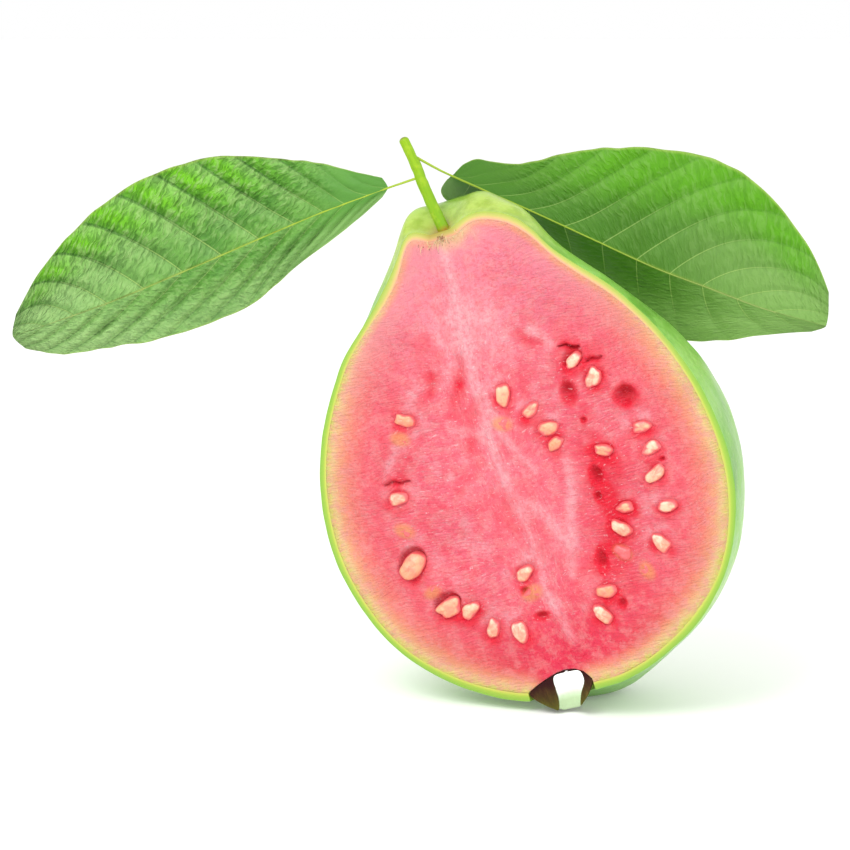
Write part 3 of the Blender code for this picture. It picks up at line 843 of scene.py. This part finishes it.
def add_strands(x, z, flat, relief, pale):
    uneven = 0.75 + 0.35 * lumps(flat, 2.2, 5)
    for points, wide in STRANDS:
        ridge = bell(line_distance(x, z, smooth_path(points, 6)) / wide) * uneven
        relief += 0.24 * ridge
        pale += 1.1 * ridge


def add_furrows(x, z, flat, relief, red):
    """Shallow hollows with redder flesh, the wide one the reddest."""
    uneven = 0.7 + 0.3 * lumps(flat, 1.6, 6)
    blotched = 1 + 0.5 * lumps(flat, 1.8, 14)
    for points, wide, deep in FURROWS:
        far = line_distance(x, z, smooth_path(points, 6))
        relief -= deep * bell(far / wide) * uneven
        red += (0.85 if wide > 2 else 0.5) * bell(far / (wide * 1.3)) * blotched


def add_sockets(x, z, flat, relief, red, hollow_shade):
    """Hollows that seeds fell out of, each with a low rim round it."""
    ragged = 1 + 0.12 * lumps(flat, 1.1, 7)
    for middle_x, middle_z, wide, high, deep, lift in SOCKETS:
        across, up = (x - middle_x) / (wide / 2), (z - middle_z) / (high / 2)
        reach = np.hypot(across, up) * ragged
        relief -= 0.7 * deep * fall(0.45, 1.05, reach)
        relief += 0.14 * bell((reach - 1.25) / 0.22)
        red += 0.8 * fall(0.8, 1.5, reach)
        # Painted shade: deep red laid in each hollow, centred nearer its top
        hollow_shade += 0.85 * fall(0.25, 0.85, np.hypot(across, up - lift) * ragged)


def add_slits(x, z, relief, red, hollow_shade):
    for middle_x, middle_z, half, turn, deep in SLITS:
        along, aside = turned(x, z, (middle_x, middle_z), math.radians(turn))
        aside = aside + 0.18 * np.sin(along * 2.1)
        wide = 0.34 * np.sqrt(np.clip(1 - (along / half) ** 2, 0.02, 1))
        slit = bell(aside / wide) * (np.abs(along) < half * 1.1)
        relief -= deep * slit
        red += 0.8 * bell(aside / 1.1) * bell(along / half)
        # Painted shade: deep red laid along each slit
        hollow_shade += 0.7 * slit


def add_seed_beds(x, z, flat, relief, red, hollow_shade, pale, film):
    """Flesh round each seed: hollow, redder below, which is partly painted shade, and paler above, which is
    partly painted light, or a film over a buried seed.
    """
    crescents = {(row, i): deep for row, i, deep in CRESCENTS}
    welt = 1 + lumps(flat, 1.6, 15)
    redder = 0.8 + 0.5 * lumps(flat, 2, 10)
    paler = rise(-0.2, 0.6, lumps(flat, 1.8, 16))
    for row, i, spot, turn, size, buried in seed_poses():
        reach = seed_reach(x, z, spot, turn, size)
        if buried:
            relief += 0.35 * fall(0.3, 1.2, reach)
            film += 0.75 * fall(0.5, 1.35, reach)
            continue
        relief -= 0.2 * fall(0.85, 1.3, reach)
        relief += 0.16 * bell((reach - 1.5) / 0.25) * welt
        # Redder flesh below the seed: partly the pulp's own colour, partly painted shade
        red += 0.75 * fall(0.6, 1.5, seed_reach(x, z, spot, turn, size, 0.6, -0.7)) * redder
        # Paler flesh above the seed: partly its own colour, partly painted light
        pale += 0.6 * fall(0.7, 1.5, seed_reach(x, z, spot, turn, size, 0.6, 1.3)) * paler
        if (row, i) in crescents:
            above = seed_reach(x, z, spot, turn, size, 0.55, 0.9)
            relief -= 0.6 * crescents[row, i] * fall(0.75, 1.05, above)
            # Painted shade in the crescent above the seed
            hollow_shade += 0.7 * fall(0.7, 1, above + 0.1 * lumps(flat, 1, 19))


def face_fields(x, z):
    """Relief of the cut face in mm towards the viewer, and the fields that colour it."""
    flat = np.stack([x, z, np.zeros_like(x)], axis=1)
    edge = border_distance(x, z)
    core_far = line_distance(x, z, smooth_path(STRANDS[0][0], 6))
    inner = rise(9, 15, edge) * rise(6, 14, z)
    relief = layered_lumps(flat, FACE_LUMPS)
    red = 0.24 * rise(0, 0.7, lumps(flat, 5, 4)) * rise(6, 11, edge)
    red += 0.2 * rise(0, 0.6, lumps(flat, 1.9, 17)) * rise(3, 9, edge)
    hollow_shade, film = np.zeros((2, len(x)))
    patch_x, patch_z, wide, high = PALE_PATCH
    pale = 0.8 * bell(np.hypot((x - patch_x) / wide, (z - patch_z) / high))
    pale += 0.25 * bell(core_far / 9) * rise(10, 30, z)
    pale += 0.4 * rise(0.1, 0.7, lumps(flat, 2.4, 18)) * inner
    add_strands(x, z, flat, relief, pale)
    add_furrows(x, z, flat, relief, red)
    add_sockets(x, z, flat, relief, red, hollow_shade)
    add_slits(x, z, relief, red, hollow_shade)
    add_seed_beds(x, z, flat, relief, red, hollow_shade, pale, film)
    tints = {"red": red, "hollow_shade": hollow_shade, "pale": pale, "film": film}
    fields = {key: np.clip(values, 0, 1) for key, values in tints.items()}
    fields |= {
        "edge": edge,
        "core": bell(core_far / 7),
        "inner": inner,
        "low": 0.95 * fall(4, 22, z) * rise(1, 5, edge) * bell((x - 1) / 22),
        "high": 0.8 * rise(52, 74, z) * rise(0.3, 1.8, edge),
        "top": rise(*TOP_SPAN, z + TOP_TILT * x),
        "stalk": 0.75 * fall(1, 4, np.hypot((x - 0.2) * 0.6, z - 83) + 0.8 * lumps(flat, 1.2, 8)),
        "specks": fall(1, 3.4, np.hypot((x + 2.6) * 0.6, z - 82.4)),
        "spot": flat,
        "fibre": np.stack([core_far, z + 1.2 * lumps(flat, 7, 9), np.zeros_like(x)], axis=1),
    }
    return relief * rise(0.2, 2.5, edge), fields


def flesh_back(x, z):
    """How far the flesh reaches back behind each point of the cut face, in mm."""
    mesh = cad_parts["flesh"].data
    to_fruit = PLACE.inverted()
    tree = BVHTree.FromPolygons([to_fruit @ v.co for v in mesh.vertices], [p.vertices for p in mesh.polygons])
    depths = []
    for px, pz in zip(x, z):
        hit = tree.ray_cast(Vector((px, 60, pz)), Vector((0, -1, 0)))[0]
        depths.append(max(hit.y - 0.3, CUT_Y + 1) if hit else CUT_Y + 1)
    return np.array(depths)


def back_faces(coarse, number):
    """Faces of the coarse back, which take in every fine point where they meet the rim of the cut face."""
    faces = []
    rows, columns = coarse.shape
    for p in range(rows - 1):
        for q in range(columns - 1):
            a, b = p * BACK_STRIDE, q * BACK_STRIDE
            c, d = a + BACK_STRIDE, b + BACK_STRIDE
            sides = [
                (coarse[p, q], number[a, b:d], p == 0),
                (coarse[p, q + 1], number[a:c, d], q == columns - 2),
                (coarse[p + 1, q + 1], number[c, d:b:-1], p == rows - 2),
                (coarse[p + 1, q], number[c:a:-1, b], q == 0),
            ]
            face = []
            for corner, fine, rim in sides:
                face.extend(fine if rim else [corner])
            faces.append(face[::-1])
    return faces


def make_flesh():
    """The pink flesh: a finely modelled cut face, closed by a coarser back inside the skin."""
    grid = flesh_grid()
    down, across = grid.shape[:2]
    x, z = grid.reshape(-1, 2).T
    relief, fields = face_fields(x, z)
    points = np.stack([x, CUT_Y - relief, z], axis=1)
    number = np.arange(down * across).reshape(down, across)
    coarse = number[::BACK_STRIDE, ::BACK_STRIDE].copy()
    inside = coarse[1:-1, 1:-1].ravel()
    back = np.stack([x[inside], flesh_back(x[inside], z[inside]), z[inside]], axis=1)
    coarse[1:-1, 1:-1] = (len(points) + np.arange(len(inside))).reshape(coarse[1:-1, 1:-1].shape)
    faces = grid_faces(down, across) + back_faces(coarse, number)
    fields = {key: np.concatenate([values, values[inside]]) for key, values in fields.items()}
    points = placed(np.vstack([points, back]))
    solid("flesh_cut", points, faces, fields, flesh_material(), "flesh")


def unit_ball(columns, rows):
    """Points and faces of a ball of radius 1, with its poles on the Y axis."""
    turn = np.arange(columns) / columns * math.tau
    lift = np.linspace(math.pi / 2, -math.pi / 2, rows)[1:-1, None]
    rings = [np.cos(lift) * np.cos(turn), -np.sin(lift) * np.ones(columns), np.cos(lift) * np.sin(turn)]
    points = np.vstack([(0, -1, 0), np.stack(rings, axis=-1).reshape(-1, 3), (0, 1, 0)])
    faces = grid_faces(rows - 2, columns, 1, closed=True)
    last = len(points) - 1
    for j in range(columns):
        k = (j + 1) % columns
        faces.append((0, 1 + k, 1 + j))
        faces.append((last, last - columns + j, last - columns + k))
    return points, faces


def make_seeds():
    """The seeds: blunt angular drops, half sunk in the flesh."""
    rng = np.random.default_rng(SEED_SHAPE_DRAW)
    ball, ball_faces = unit_ball(*SEED_FACETS)
    around = np.arctan2(ball[:, 2], ball[:, 0])
    parts, tone_and_top_light, foot, local = [], [], [], []
    for _, _, spot, turn, size, buried in seed_poses():
        bend = rng.uniform(0, math.tau, 3)
        taper, flat, squareness = rng.uniform(-0.14, 0.14), rng.uniform(0, 0.12), rng.uniform(0.75, 0.95)
        facet = 1 + 0.05 * np.sin(3 * around + bend[0]) + 0.035 * np.sin(5 * around + bend[1])
        body = np.sign(ball) * np.abs(ball) ** squareness * facet[:, None]
        body[:, 2] *= 1 + taper * ball[:, 0]
        body[:, 1] *= 1 - flat * (ball[:, 1] < 0)
        half = np.array(SEED_SIZE) / 2 * size * (1, 1, 1 if buried else rng.uniform(0.8, 1))
        body *= half * (0.9 if buried else 1)
        body *= 1.04 + 0.16 * lumps(body + 30 * bend[2], 1.5, 13)[:, None]
        c, s = math.cos(turn), math.sin(turn)
        x = spot[0] + body[:, 0] * c - body[:, 2] * s
        z = spot[1] + body[:, 0] * s + body[:, 2] * c
        y = CUT_Y + (BURIED_SUNK if buried else SEED_SUNK) + body[:, 1]
        y += 0.05 * lumps(body + 20 * bend[0], 0.9, 12)
        parts.append((np.stack([x, y, z], axis=1), ball_faces))
        # A random colour of its own, plus painted light that makes the seed paler towards its top
        tone_and_top_light.append(rng.uniform(0.1, 0.8) + 0.25 * (z - spot[1]) / half[0])
        foot.append(np.clip(rise(CUT_Y - 0.65, CUT_Y - 0.05, y) + 0.5 * buried, 0, 1))
        local.append(body + 10 * bend[0])
    points, faces = joined(parts)
    fields = {"tone_and_top_light": np.concatenate(tone_and_top_light), "foot": np.concatenate(foot), "at": np.vstack(local)}
    solid("seeds", placed(points), faces, fields, seed_material())


def make_skin():
    """The thin green skin round the back, with its cut rim."""
    outer, inner = body_rings(0), body_rings(SKIN)
    rings, turns = outer.shape[:2]
    count = rings * turns
    flat = outer.reshape(-1, 3)
    out = flat - SKIN_MIDDLE
    out /= np.linalg.norm(out, axis=1)[:, None]
    flat = flat + out * layered_lumps(flat, SKIN_LUMPS)[:, None]
    flat.reshape(rings, turns, 3)[:, [0, -1], 1] = CUT_Y
    tops = [profile(inset)[0] for inset in (0, SKIN)]
    poles = [[float(v) for v in shaped(0, top[1], top[2], 0)] for top in tops]
    at = np.vstack([flat, inner.reshape(-1, 3), poles])
    points = placed(at)
    points[:, 2] = np.maximum(points[:, 2], np.where(np.arange(len(points)) < count, 0, SKIN * MM))
    faces = grid_faces(rings, turns) + grid_faces(rings, turns, count)
    loops = []
    for start, pole in ((0, 2 * count), (count, 2 * count + 1)):
        for j in range(turns):
            faces.append((pole, start + j, start + (j + 1) % turns))
        number = start + np.arange(count).reshape(rings, turns)
        loops.append([*number[:, 0], *number[-1, 1:-1], *number[::-1, -1]])
    faces += loop_faces(*loops)
    x, y, height = at.T
    height = np.append(height[:-2], [top[1] for top in tops])
    stalk = bell(np.hypot(x + 1.6, y + 2.4) / 2.2) * rise(80, 83, height)
    fields = {
        "rim": np.concatenate([np.zeros(count), np.ones(count), [0, 1]]),
        "crown": 0.9 * rise(70, 86, height) * (1 - 0.6 * rise(-2, 8, y)),
        "top": rise(*TOP_SPAN, height + TOP_TILT * x),
        "stalk": 0.9 * stalk,
        "at": at,
    }
    solid("skin_peel", points, faces, fields, skin_material(), "skin", sharp=50)


def calyx_section():
    """The calyx's section with heights in mm and as shares of a sepal's length, smoothed."""
    section = [(bore, share, height, 0) for bore, share, height in CALYX_INNER]
    section += [(bore, share, 0, height) for bore, share, height in CALYX_TIPS]
    section += [(bore, share, height, 0) for bore, share, height in CALYX_OUTER]
    return smooth_path(section, 3)


def make_calyx():
    """The dry half cup at the blossom end, cut through with the fruit."""
    turn = np.linspace(0, math.pi, CALYX_TURNS + 1)
    radius = CALYX_RADIUS[0] + CALYX_RADIUS[1] * np.cos(turn)
    side = bell(np.sin(turn) / 0.45)
    length = CALYX_LOBES[0] + CALYX_LOBES[1] * np.cos(4 * turn) * side + CALYX_BACK * (1 - side)
    bore, share, height, sepal = (column[:, None] for column in calyx_section().T)
    reach = np.maximum(bore + share * (radius - bore), 0)
    z = height + sepal * length
    count, turns = reach.shape
    step = np.linspace(0, 1, count)[:, None] * np.ones(turns)
    wrinkle = np.sin(9 * turn + 1) * 0.12 + np.sin(23 * turn) * 0.07
    reach = reach + wrinkle * rise(0.5, 0.6, step) * fall(0.7, 0.8, step)
    x = CALYX_AT[0] + reach * np.cos(turn) + CALYX_HANG * np.minimum(0, z + 0.6)
    y = CUT_Y + reach * np.sin(turn)
    ends = [[CALYX_AT[0], CUT_Y, section[0][2]] for section in (CALYX_INNER, CALYX_OUTER[::-1])]
    at = np.vstack([np.stack([x, y, z + CALYX_AT[1]], axis=-1)[1:-1].reshape(-1, 3), ends])
    rows = count - 2
    number = np.arange(rows * turns).reshape(rows, turns)
    inner_pole, outer_pole = rows * turns, rows * turns + 1
    faces = grid_faces(rows, turns)
    for j in range(turns - 1):
        faces.append((inner_pole, number[0, j + 1], number[0, j]))
        faces.append((outer_pole, number[-1, j], number[-1, j + 1]))
    faces.append([inner_pole, *number[:, 0], outer_pole][::-1])
    faces.append([inner_pole, *number[:, -1], outer_pole])
    y, z = y[1:-1], z[1:-1]
    # The inner back wall, which is painted with a white glow
    painted_glow = (step[1:-1] < 0.46) * rise(0, 0.5, y - CUT_Y)
    # Painted shade: near-black red on the upper parts of the cup
    basin_shade = rise(-2, 0.5, z) * (1 - painted_glow)
    # On the glowing wall this turns the glow green towards the bottom, painted floor shade; on the sepals it
    # tints their lower ends olive
    low = np.where(painted_glow > 0.5, rise(0.4, -3.6, z), rise(-1.8, -3.6, z))
    fields = {
        "at": at,
        "painted_glow": np.append(painted_glow, [1, 0]),
        "basin_shade": np.append(basin_shade, [0, 1]),
        "low": np.append(low, [0, 0]),
    }
    points = placed(at)
    points[:, 2] = np.maximum(points[:, 2], CALYX_LIFT * MM)
    solid("calyx_cup", points, faces, fields, calyx_material(), "calyx", sharp=50)


def tube(line, sides, ridges=0):
    """Points and faces of a round tube along a line of (x, y, z, radius), with flat ends."""
    along = np.gradient(line[:, :3], axis=0)
    along /= np.linalg.norm(along, axis=1)[:, None]
    side = np.cross(along, [0, 1, 0])
    side /= np.linalg.norm(side, axis=1)[:, None]
    front = np.cross(side, along)
    turn = np.arange(sides) / sides * math.tau
    twist = np.arange(len(line))[:, None] * 0.02
    reach = line[:, 3, None] * (1 + ridges * np.cos(5 * turn + twist))
    around = side[:, None] * np.cos(turn)[None, :, None] + front[:, None] * np.sin(turn)[None, :, None]
    points = line[:, None, :3] + around * reach[..., None]
    count = len(line) * sides
    faces = grid_faces(len(line), sides, closed=True)
    faces += [tuple(range(sides)), tuple(range(count - 1, count - sides - 1, -1))]
    return points.reshape(-1, 3), faces


def make_stem():
    """The green stalk, widening to an orange ring where it leaves the fruit, with a rounded tip."""
    line = smooth_path(STEM_LINE, 12)
    run = np.linspace(0, 1, len(line))
    line[:, 3] = np.interp(run, *zip(*STEM_RADII))
    for node in STEM_NODES:
        line[:, 3] *= 1 + 0.1 * bell((run - node) / 0.04)
    ahead = (line[-1] - line[-2]) * [1, 1, 1, 0]
    ahead /= np.linalg.norm(ahead)
    cap = [line[-1] * [1, 1, 1, math.sqrt(1 - lift**2)] + 0.7 * lift * ahead for lift in STEM_CAP]
    line = np.vstack([line, cap])
    points, faces = tube(line, STEM_SIDES, 0.035)
    turn = np.tile(np.arange(STEM_SIDES) / STEM_SIDES * math.tau, len(line))
    along = np.repeat(np.append(run, np.ones(len(cap))), STEM_SIDES)
    points = points + 0.05 * lumps(points, 1.4, 31)[:, None]
    cut = np.repeat(np.append(np.zeros(len(run)), [0.3, 0.6, 1, 1]), STEM_SIDES)
    stripe = np.stack([2.2 * np.cos(turn), 2.2 * np.sin(turn), 3 * along], axis=1)
    fields = {"at": points, "along": along, "cut": cut, "stripe": stripe}
    solid("stem_stalk", points * MM, faces, fields, stem_material(), "stem", sharp=50)


def make_fibres():
    """Short dry fibres where the stem is torn from the cut face."""
    rng = np.random.default_rng(FIBRE_DRAW)
    t = np.linspace(0, 1, 7)
    parts = []
    for _ in range(FIBRES):
        x, z = -1.8 + rng.normal(0, 2), 82.6 + rng.normal(0, 0.4)
        lean, bow = rng.uniform(-1.1, 1.1), rng.uniform(-0.5, 0.5)
        run = rng.uniform(0.9, 2) * t
        x = x + run * math.sin(lean) + bow * t**2
        y = CUT_Y + 0.35 - np.sin(t * 2.2)
        parts.append(tube(np.stack([x, y, z - run * math.cos(lean), 0.09 * (1 - 0.75 * t)], axis=1), 6))
    points, faces = joined(parts)
    solid("stem_fibres", placed(points), faces, {"at": points}, fibre_material())


def leaf_points(stations, veins):
    """The blade's middle surface in mm, with the place of each point on it, and its side veins.

    The flat coordinates run across the side veins and along them, in mm.
    """
    lines = [smooth_path([s[c] for s in stations], LEAF_STEPS) for c in range(3)]
    run = np.linspace(0, 1, len(lines[0]))
    even = np.linspace(-1, 1, 2 * LEAF_HALF + 1)
    t, s = np.meshgrid(np.sign(even) * (0.3 * np.abs(even) + 0.7 * even**2), run)
    s = s - TIP_CUT * np.abs(t) ** 2.5 * (rise(0.75, 1, s) - 0.5 * rise(0.25, 0, s))
    middle, upper, lower = (np.stack([np.interp(s, run, c) for c in line.T], axis=-1) for line in lines)
    far = np.abs(t)[..., None]
    points = middle * (1 - far) + np.where(t[..., None] > 0, upper, lower) * far
    count, shift, leans = veins[:3]
    lean = np.where(t > 0, *leans)
    vein = count * s - lean * np.abs(t) ** 1.1 + shift
    slant = lean * LEAF_LENGTH / count / LEAF_WIDTH
    along, out = LEAF_LENGTH * s, LEAF_WIDTH * np.abs(t)
    flat = np.stack([along - slant * out, slant * along + out, 5 * np.sign(t)], axis=-1)
    flat[..., :2] /= np.hypot(1, slant)[..., None]
    return points, s, t, vein, flat.reshape(-1, 3)


def leaf_rib(stations, petiole):
    """Points and faces of the petiole and midrib, and how grey they are."""
    path = smooth_path([*petiole, *[p[0] for p in stations]], 12)
    share = np.linspace(0, 1, len(path))
    thin = RIB_RADIUS[0] + (RIB_RADIUS[1] - RIB_RADIUS[0]) * share**0.6
    line = np.column_stack([path, thin])[:-RIB_SHORT]
    share = share[:-RIB_SHORT]
    line[:, 1] -= 0.24 * rise(0.08, 0.16, share)
    points, faces = tube(line, RIB_SIDES)
    return points, faces, np.repeat(rise(0.45, 0.9, share), RIB_SIDES)


def leaf_colors(s, t, swelling):
    """Fields that colour a blade: its lit upper margin, which is painted light, its grey zones, its deeper
    green base and how rough it looks.
    """
    # Painted light: brighter yellow-green towards the upper margin, where the blade is lit
    lit_margin = rise(0.3, 0.8, t) * rise(0.22, 0.5, s) * fall(0.86, 1, s)
    grey = rise(0.5, 0.9, s) * 0.85 + rise(0.2, 0.8, -t) * 0.6
    return {
        "across": np.abs(t),
        "lit_margin": lit_margin,
        "grey": np.clip(grey * (1 - lit_margin), 0, 1),
        "base": fall(0.1, 0.35, s),
        "rough": swelling * (0.55 + 0.45 * rise(0.1, 0.6, t)) * rise(0.15, 0.4, s),
    }


def make_leaf(side, stations, petiole, veins, material):
    """A blade with swollen fields between its side veins, and its midrib and petiole."""
    middle, s, t, vein, flat = leaf_points(stations, veins)
    far = np.abs(t)
    ends = np.minimum(1, 4 * np.minimum(s, 1 - s))
    span = np.sin(math.pi * np.minimum(1, far * 1.1)) ** 0.6
    wave = np.sin(9 * s * math.pi + np.where(t > 0, 2, 0.4)) * far**3
    field = np.abs(np.sin(math.pi * vein)) ** 0.7 + 0.35 * lumps(flat, 2.6, 41).reshape(s.shape)
    middle[..., 1] -= (veins[3] * field * span - LEAF_WAVE * wave) * ends
    middle[..., 2] += 0.25 * lumps(flat, 2.6, 43).reshape(s.shape) * rise(0.75, 1, far) * ends * np.sign(t)
    thick = (LEAF_THICKNESS[0] + (LEAF_THICKNESS[1] - LEAF_THICKNESS[0]) * far)[..., None] * (0, 0.5, 0)
    rows, columns = s.shape
    count = rows * columns
    number = np.arange(count).reshape(rows, columns)
    loop = [*number[0, :-1], *number[:-1, -1], *number[-1, :0:-1], *number[:0:-1, 0]]
    faces = grid_faces(rows, columns) + grid_faces(rows, columns, count)
    faces += loop_faces(loop, [i + count for i in loop])
    blade = np.vstack([(middle - thick).reshape(-1, 3), (middle + thick).reshape(-1, 3)])
    rib_points, rib_faces, rib_grey = leaf_rib(stations, petiole)
    points, faces = joined([(blade, faces), (rib_points, rib_faces)])
    blank = np.zeros(len(rib_points))
    both = {"vein": vein} | leaf_colors(s, t, veins[3])
    fields = {key: np.concatenate([values.ravel(), values.ravel(), blank]) for key, values in both.items()}
    fields["vein"][len(blade) :] = 0.5
    fields["grey"][len(blade) :] = rib_grey
    fields["flat"] = np.vstack([flat, flat + [0, 0, 9], rib_points])
    fields["rib"] = np.concatenate([0.5 * bell(t.ravel() / 0.012)] * 2 + [blank + 1])
    solid(f"blade_{side}", points * MM, faces, fields, material, f"leaf_{side}", sharp=60)


def make_leaves():
    left = leaf_material("leaf_left_blade", (96, 160, 62), (120, 182, 76), (122, 210, 20), (170, 216, 132))
    right = leaf_material("leaf_right_blade", (80, 140, 30), (80, 136, 28), (98, 176, 8), (144, 190, 98))
    make_leaf("left", LEFT_LEAF, LEFT_PETIOLE, LEFT_VEINS, left)
    make_leaf("right", RIGHT_LEAF, RIGHT_PETIOLE, RIGHT_VEINS, right)


def make_camera():
    data = bpy.data.cameras.new("camera")
    camera = linked("camera", data)
    ahead = Vector((0, math.cos(CAMERA_ELEVATION), -math.sin(CAMERA_ELEVATION)))
    camera.location = CAMERA_AIM - ahead * CAMERA_DISTANCE
    camera.rotation_euler = (math.pi / 2 - CAMERA_ELEVATION, 0, 0)
    data.sensor_width = CAMERA_SENSOR
    data.lens = CAMERA_LENS
    bpy.context.scene.camera = camera


def make_light(name, at, size, power, color):
    data = bpy.data.lights.new(name, "AREA")
    data.size = size
    data.energy = power
    data.color = color
    light = linked(name, data)
    light.location = at
    light.rotation_euler = (LIGHT_AIM - Vector(at)).to_track_quat("-Z", "Y").to_euler()


def make_studio():
    """A pale floor, an even white surround and soft lights from the upper left and the right."""
    bpy.context.scene.view_settings.view_transform = "Standard"
    world = bpy.data.worlds.new("surround")
    world.use_nodes = True
    world.node_tree.nodes["Background"].inputs["Color"].default_value = WHITE
    bpy.context.scene.world = world
    mesh = bpy.data.meshes.new("floor")
    mesh.from_pydata([(-3, -3, 0), (3, -3, 0), (3, 3, 0), (-3, 3, 0)], [], [(0, 1, 2, 3)])
    floor = linked("floor", mesh)
    g = Graph("floor_white")
    g.surface(Base_Color=(0.9, 0.9, 0.89, 1), Roughness=0.8, Emission_Color=WHITE, Emission_Strength=0.1)
    mesh.materials.append(g.material)
    floor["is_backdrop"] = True
    make_light("key", (-0.45, -0.55, 0.75), 0.5, 5.5, (1, 0.99, 0.97))
    make_light("fill", (0.6, -0.5, 0.4), 0.6, 2, (1, 1, 1))


def write_sizes():
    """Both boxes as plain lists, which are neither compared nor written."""
    boxes = [[list(corner) for corner in box] for box in (CAD_BOX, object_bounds())]


make_camera()
make_studio()
make_flesh()
make_seeds()
make_skin()
make_calyx()
make_stem()
make_fibres()
make_leaves()
write_sizes()
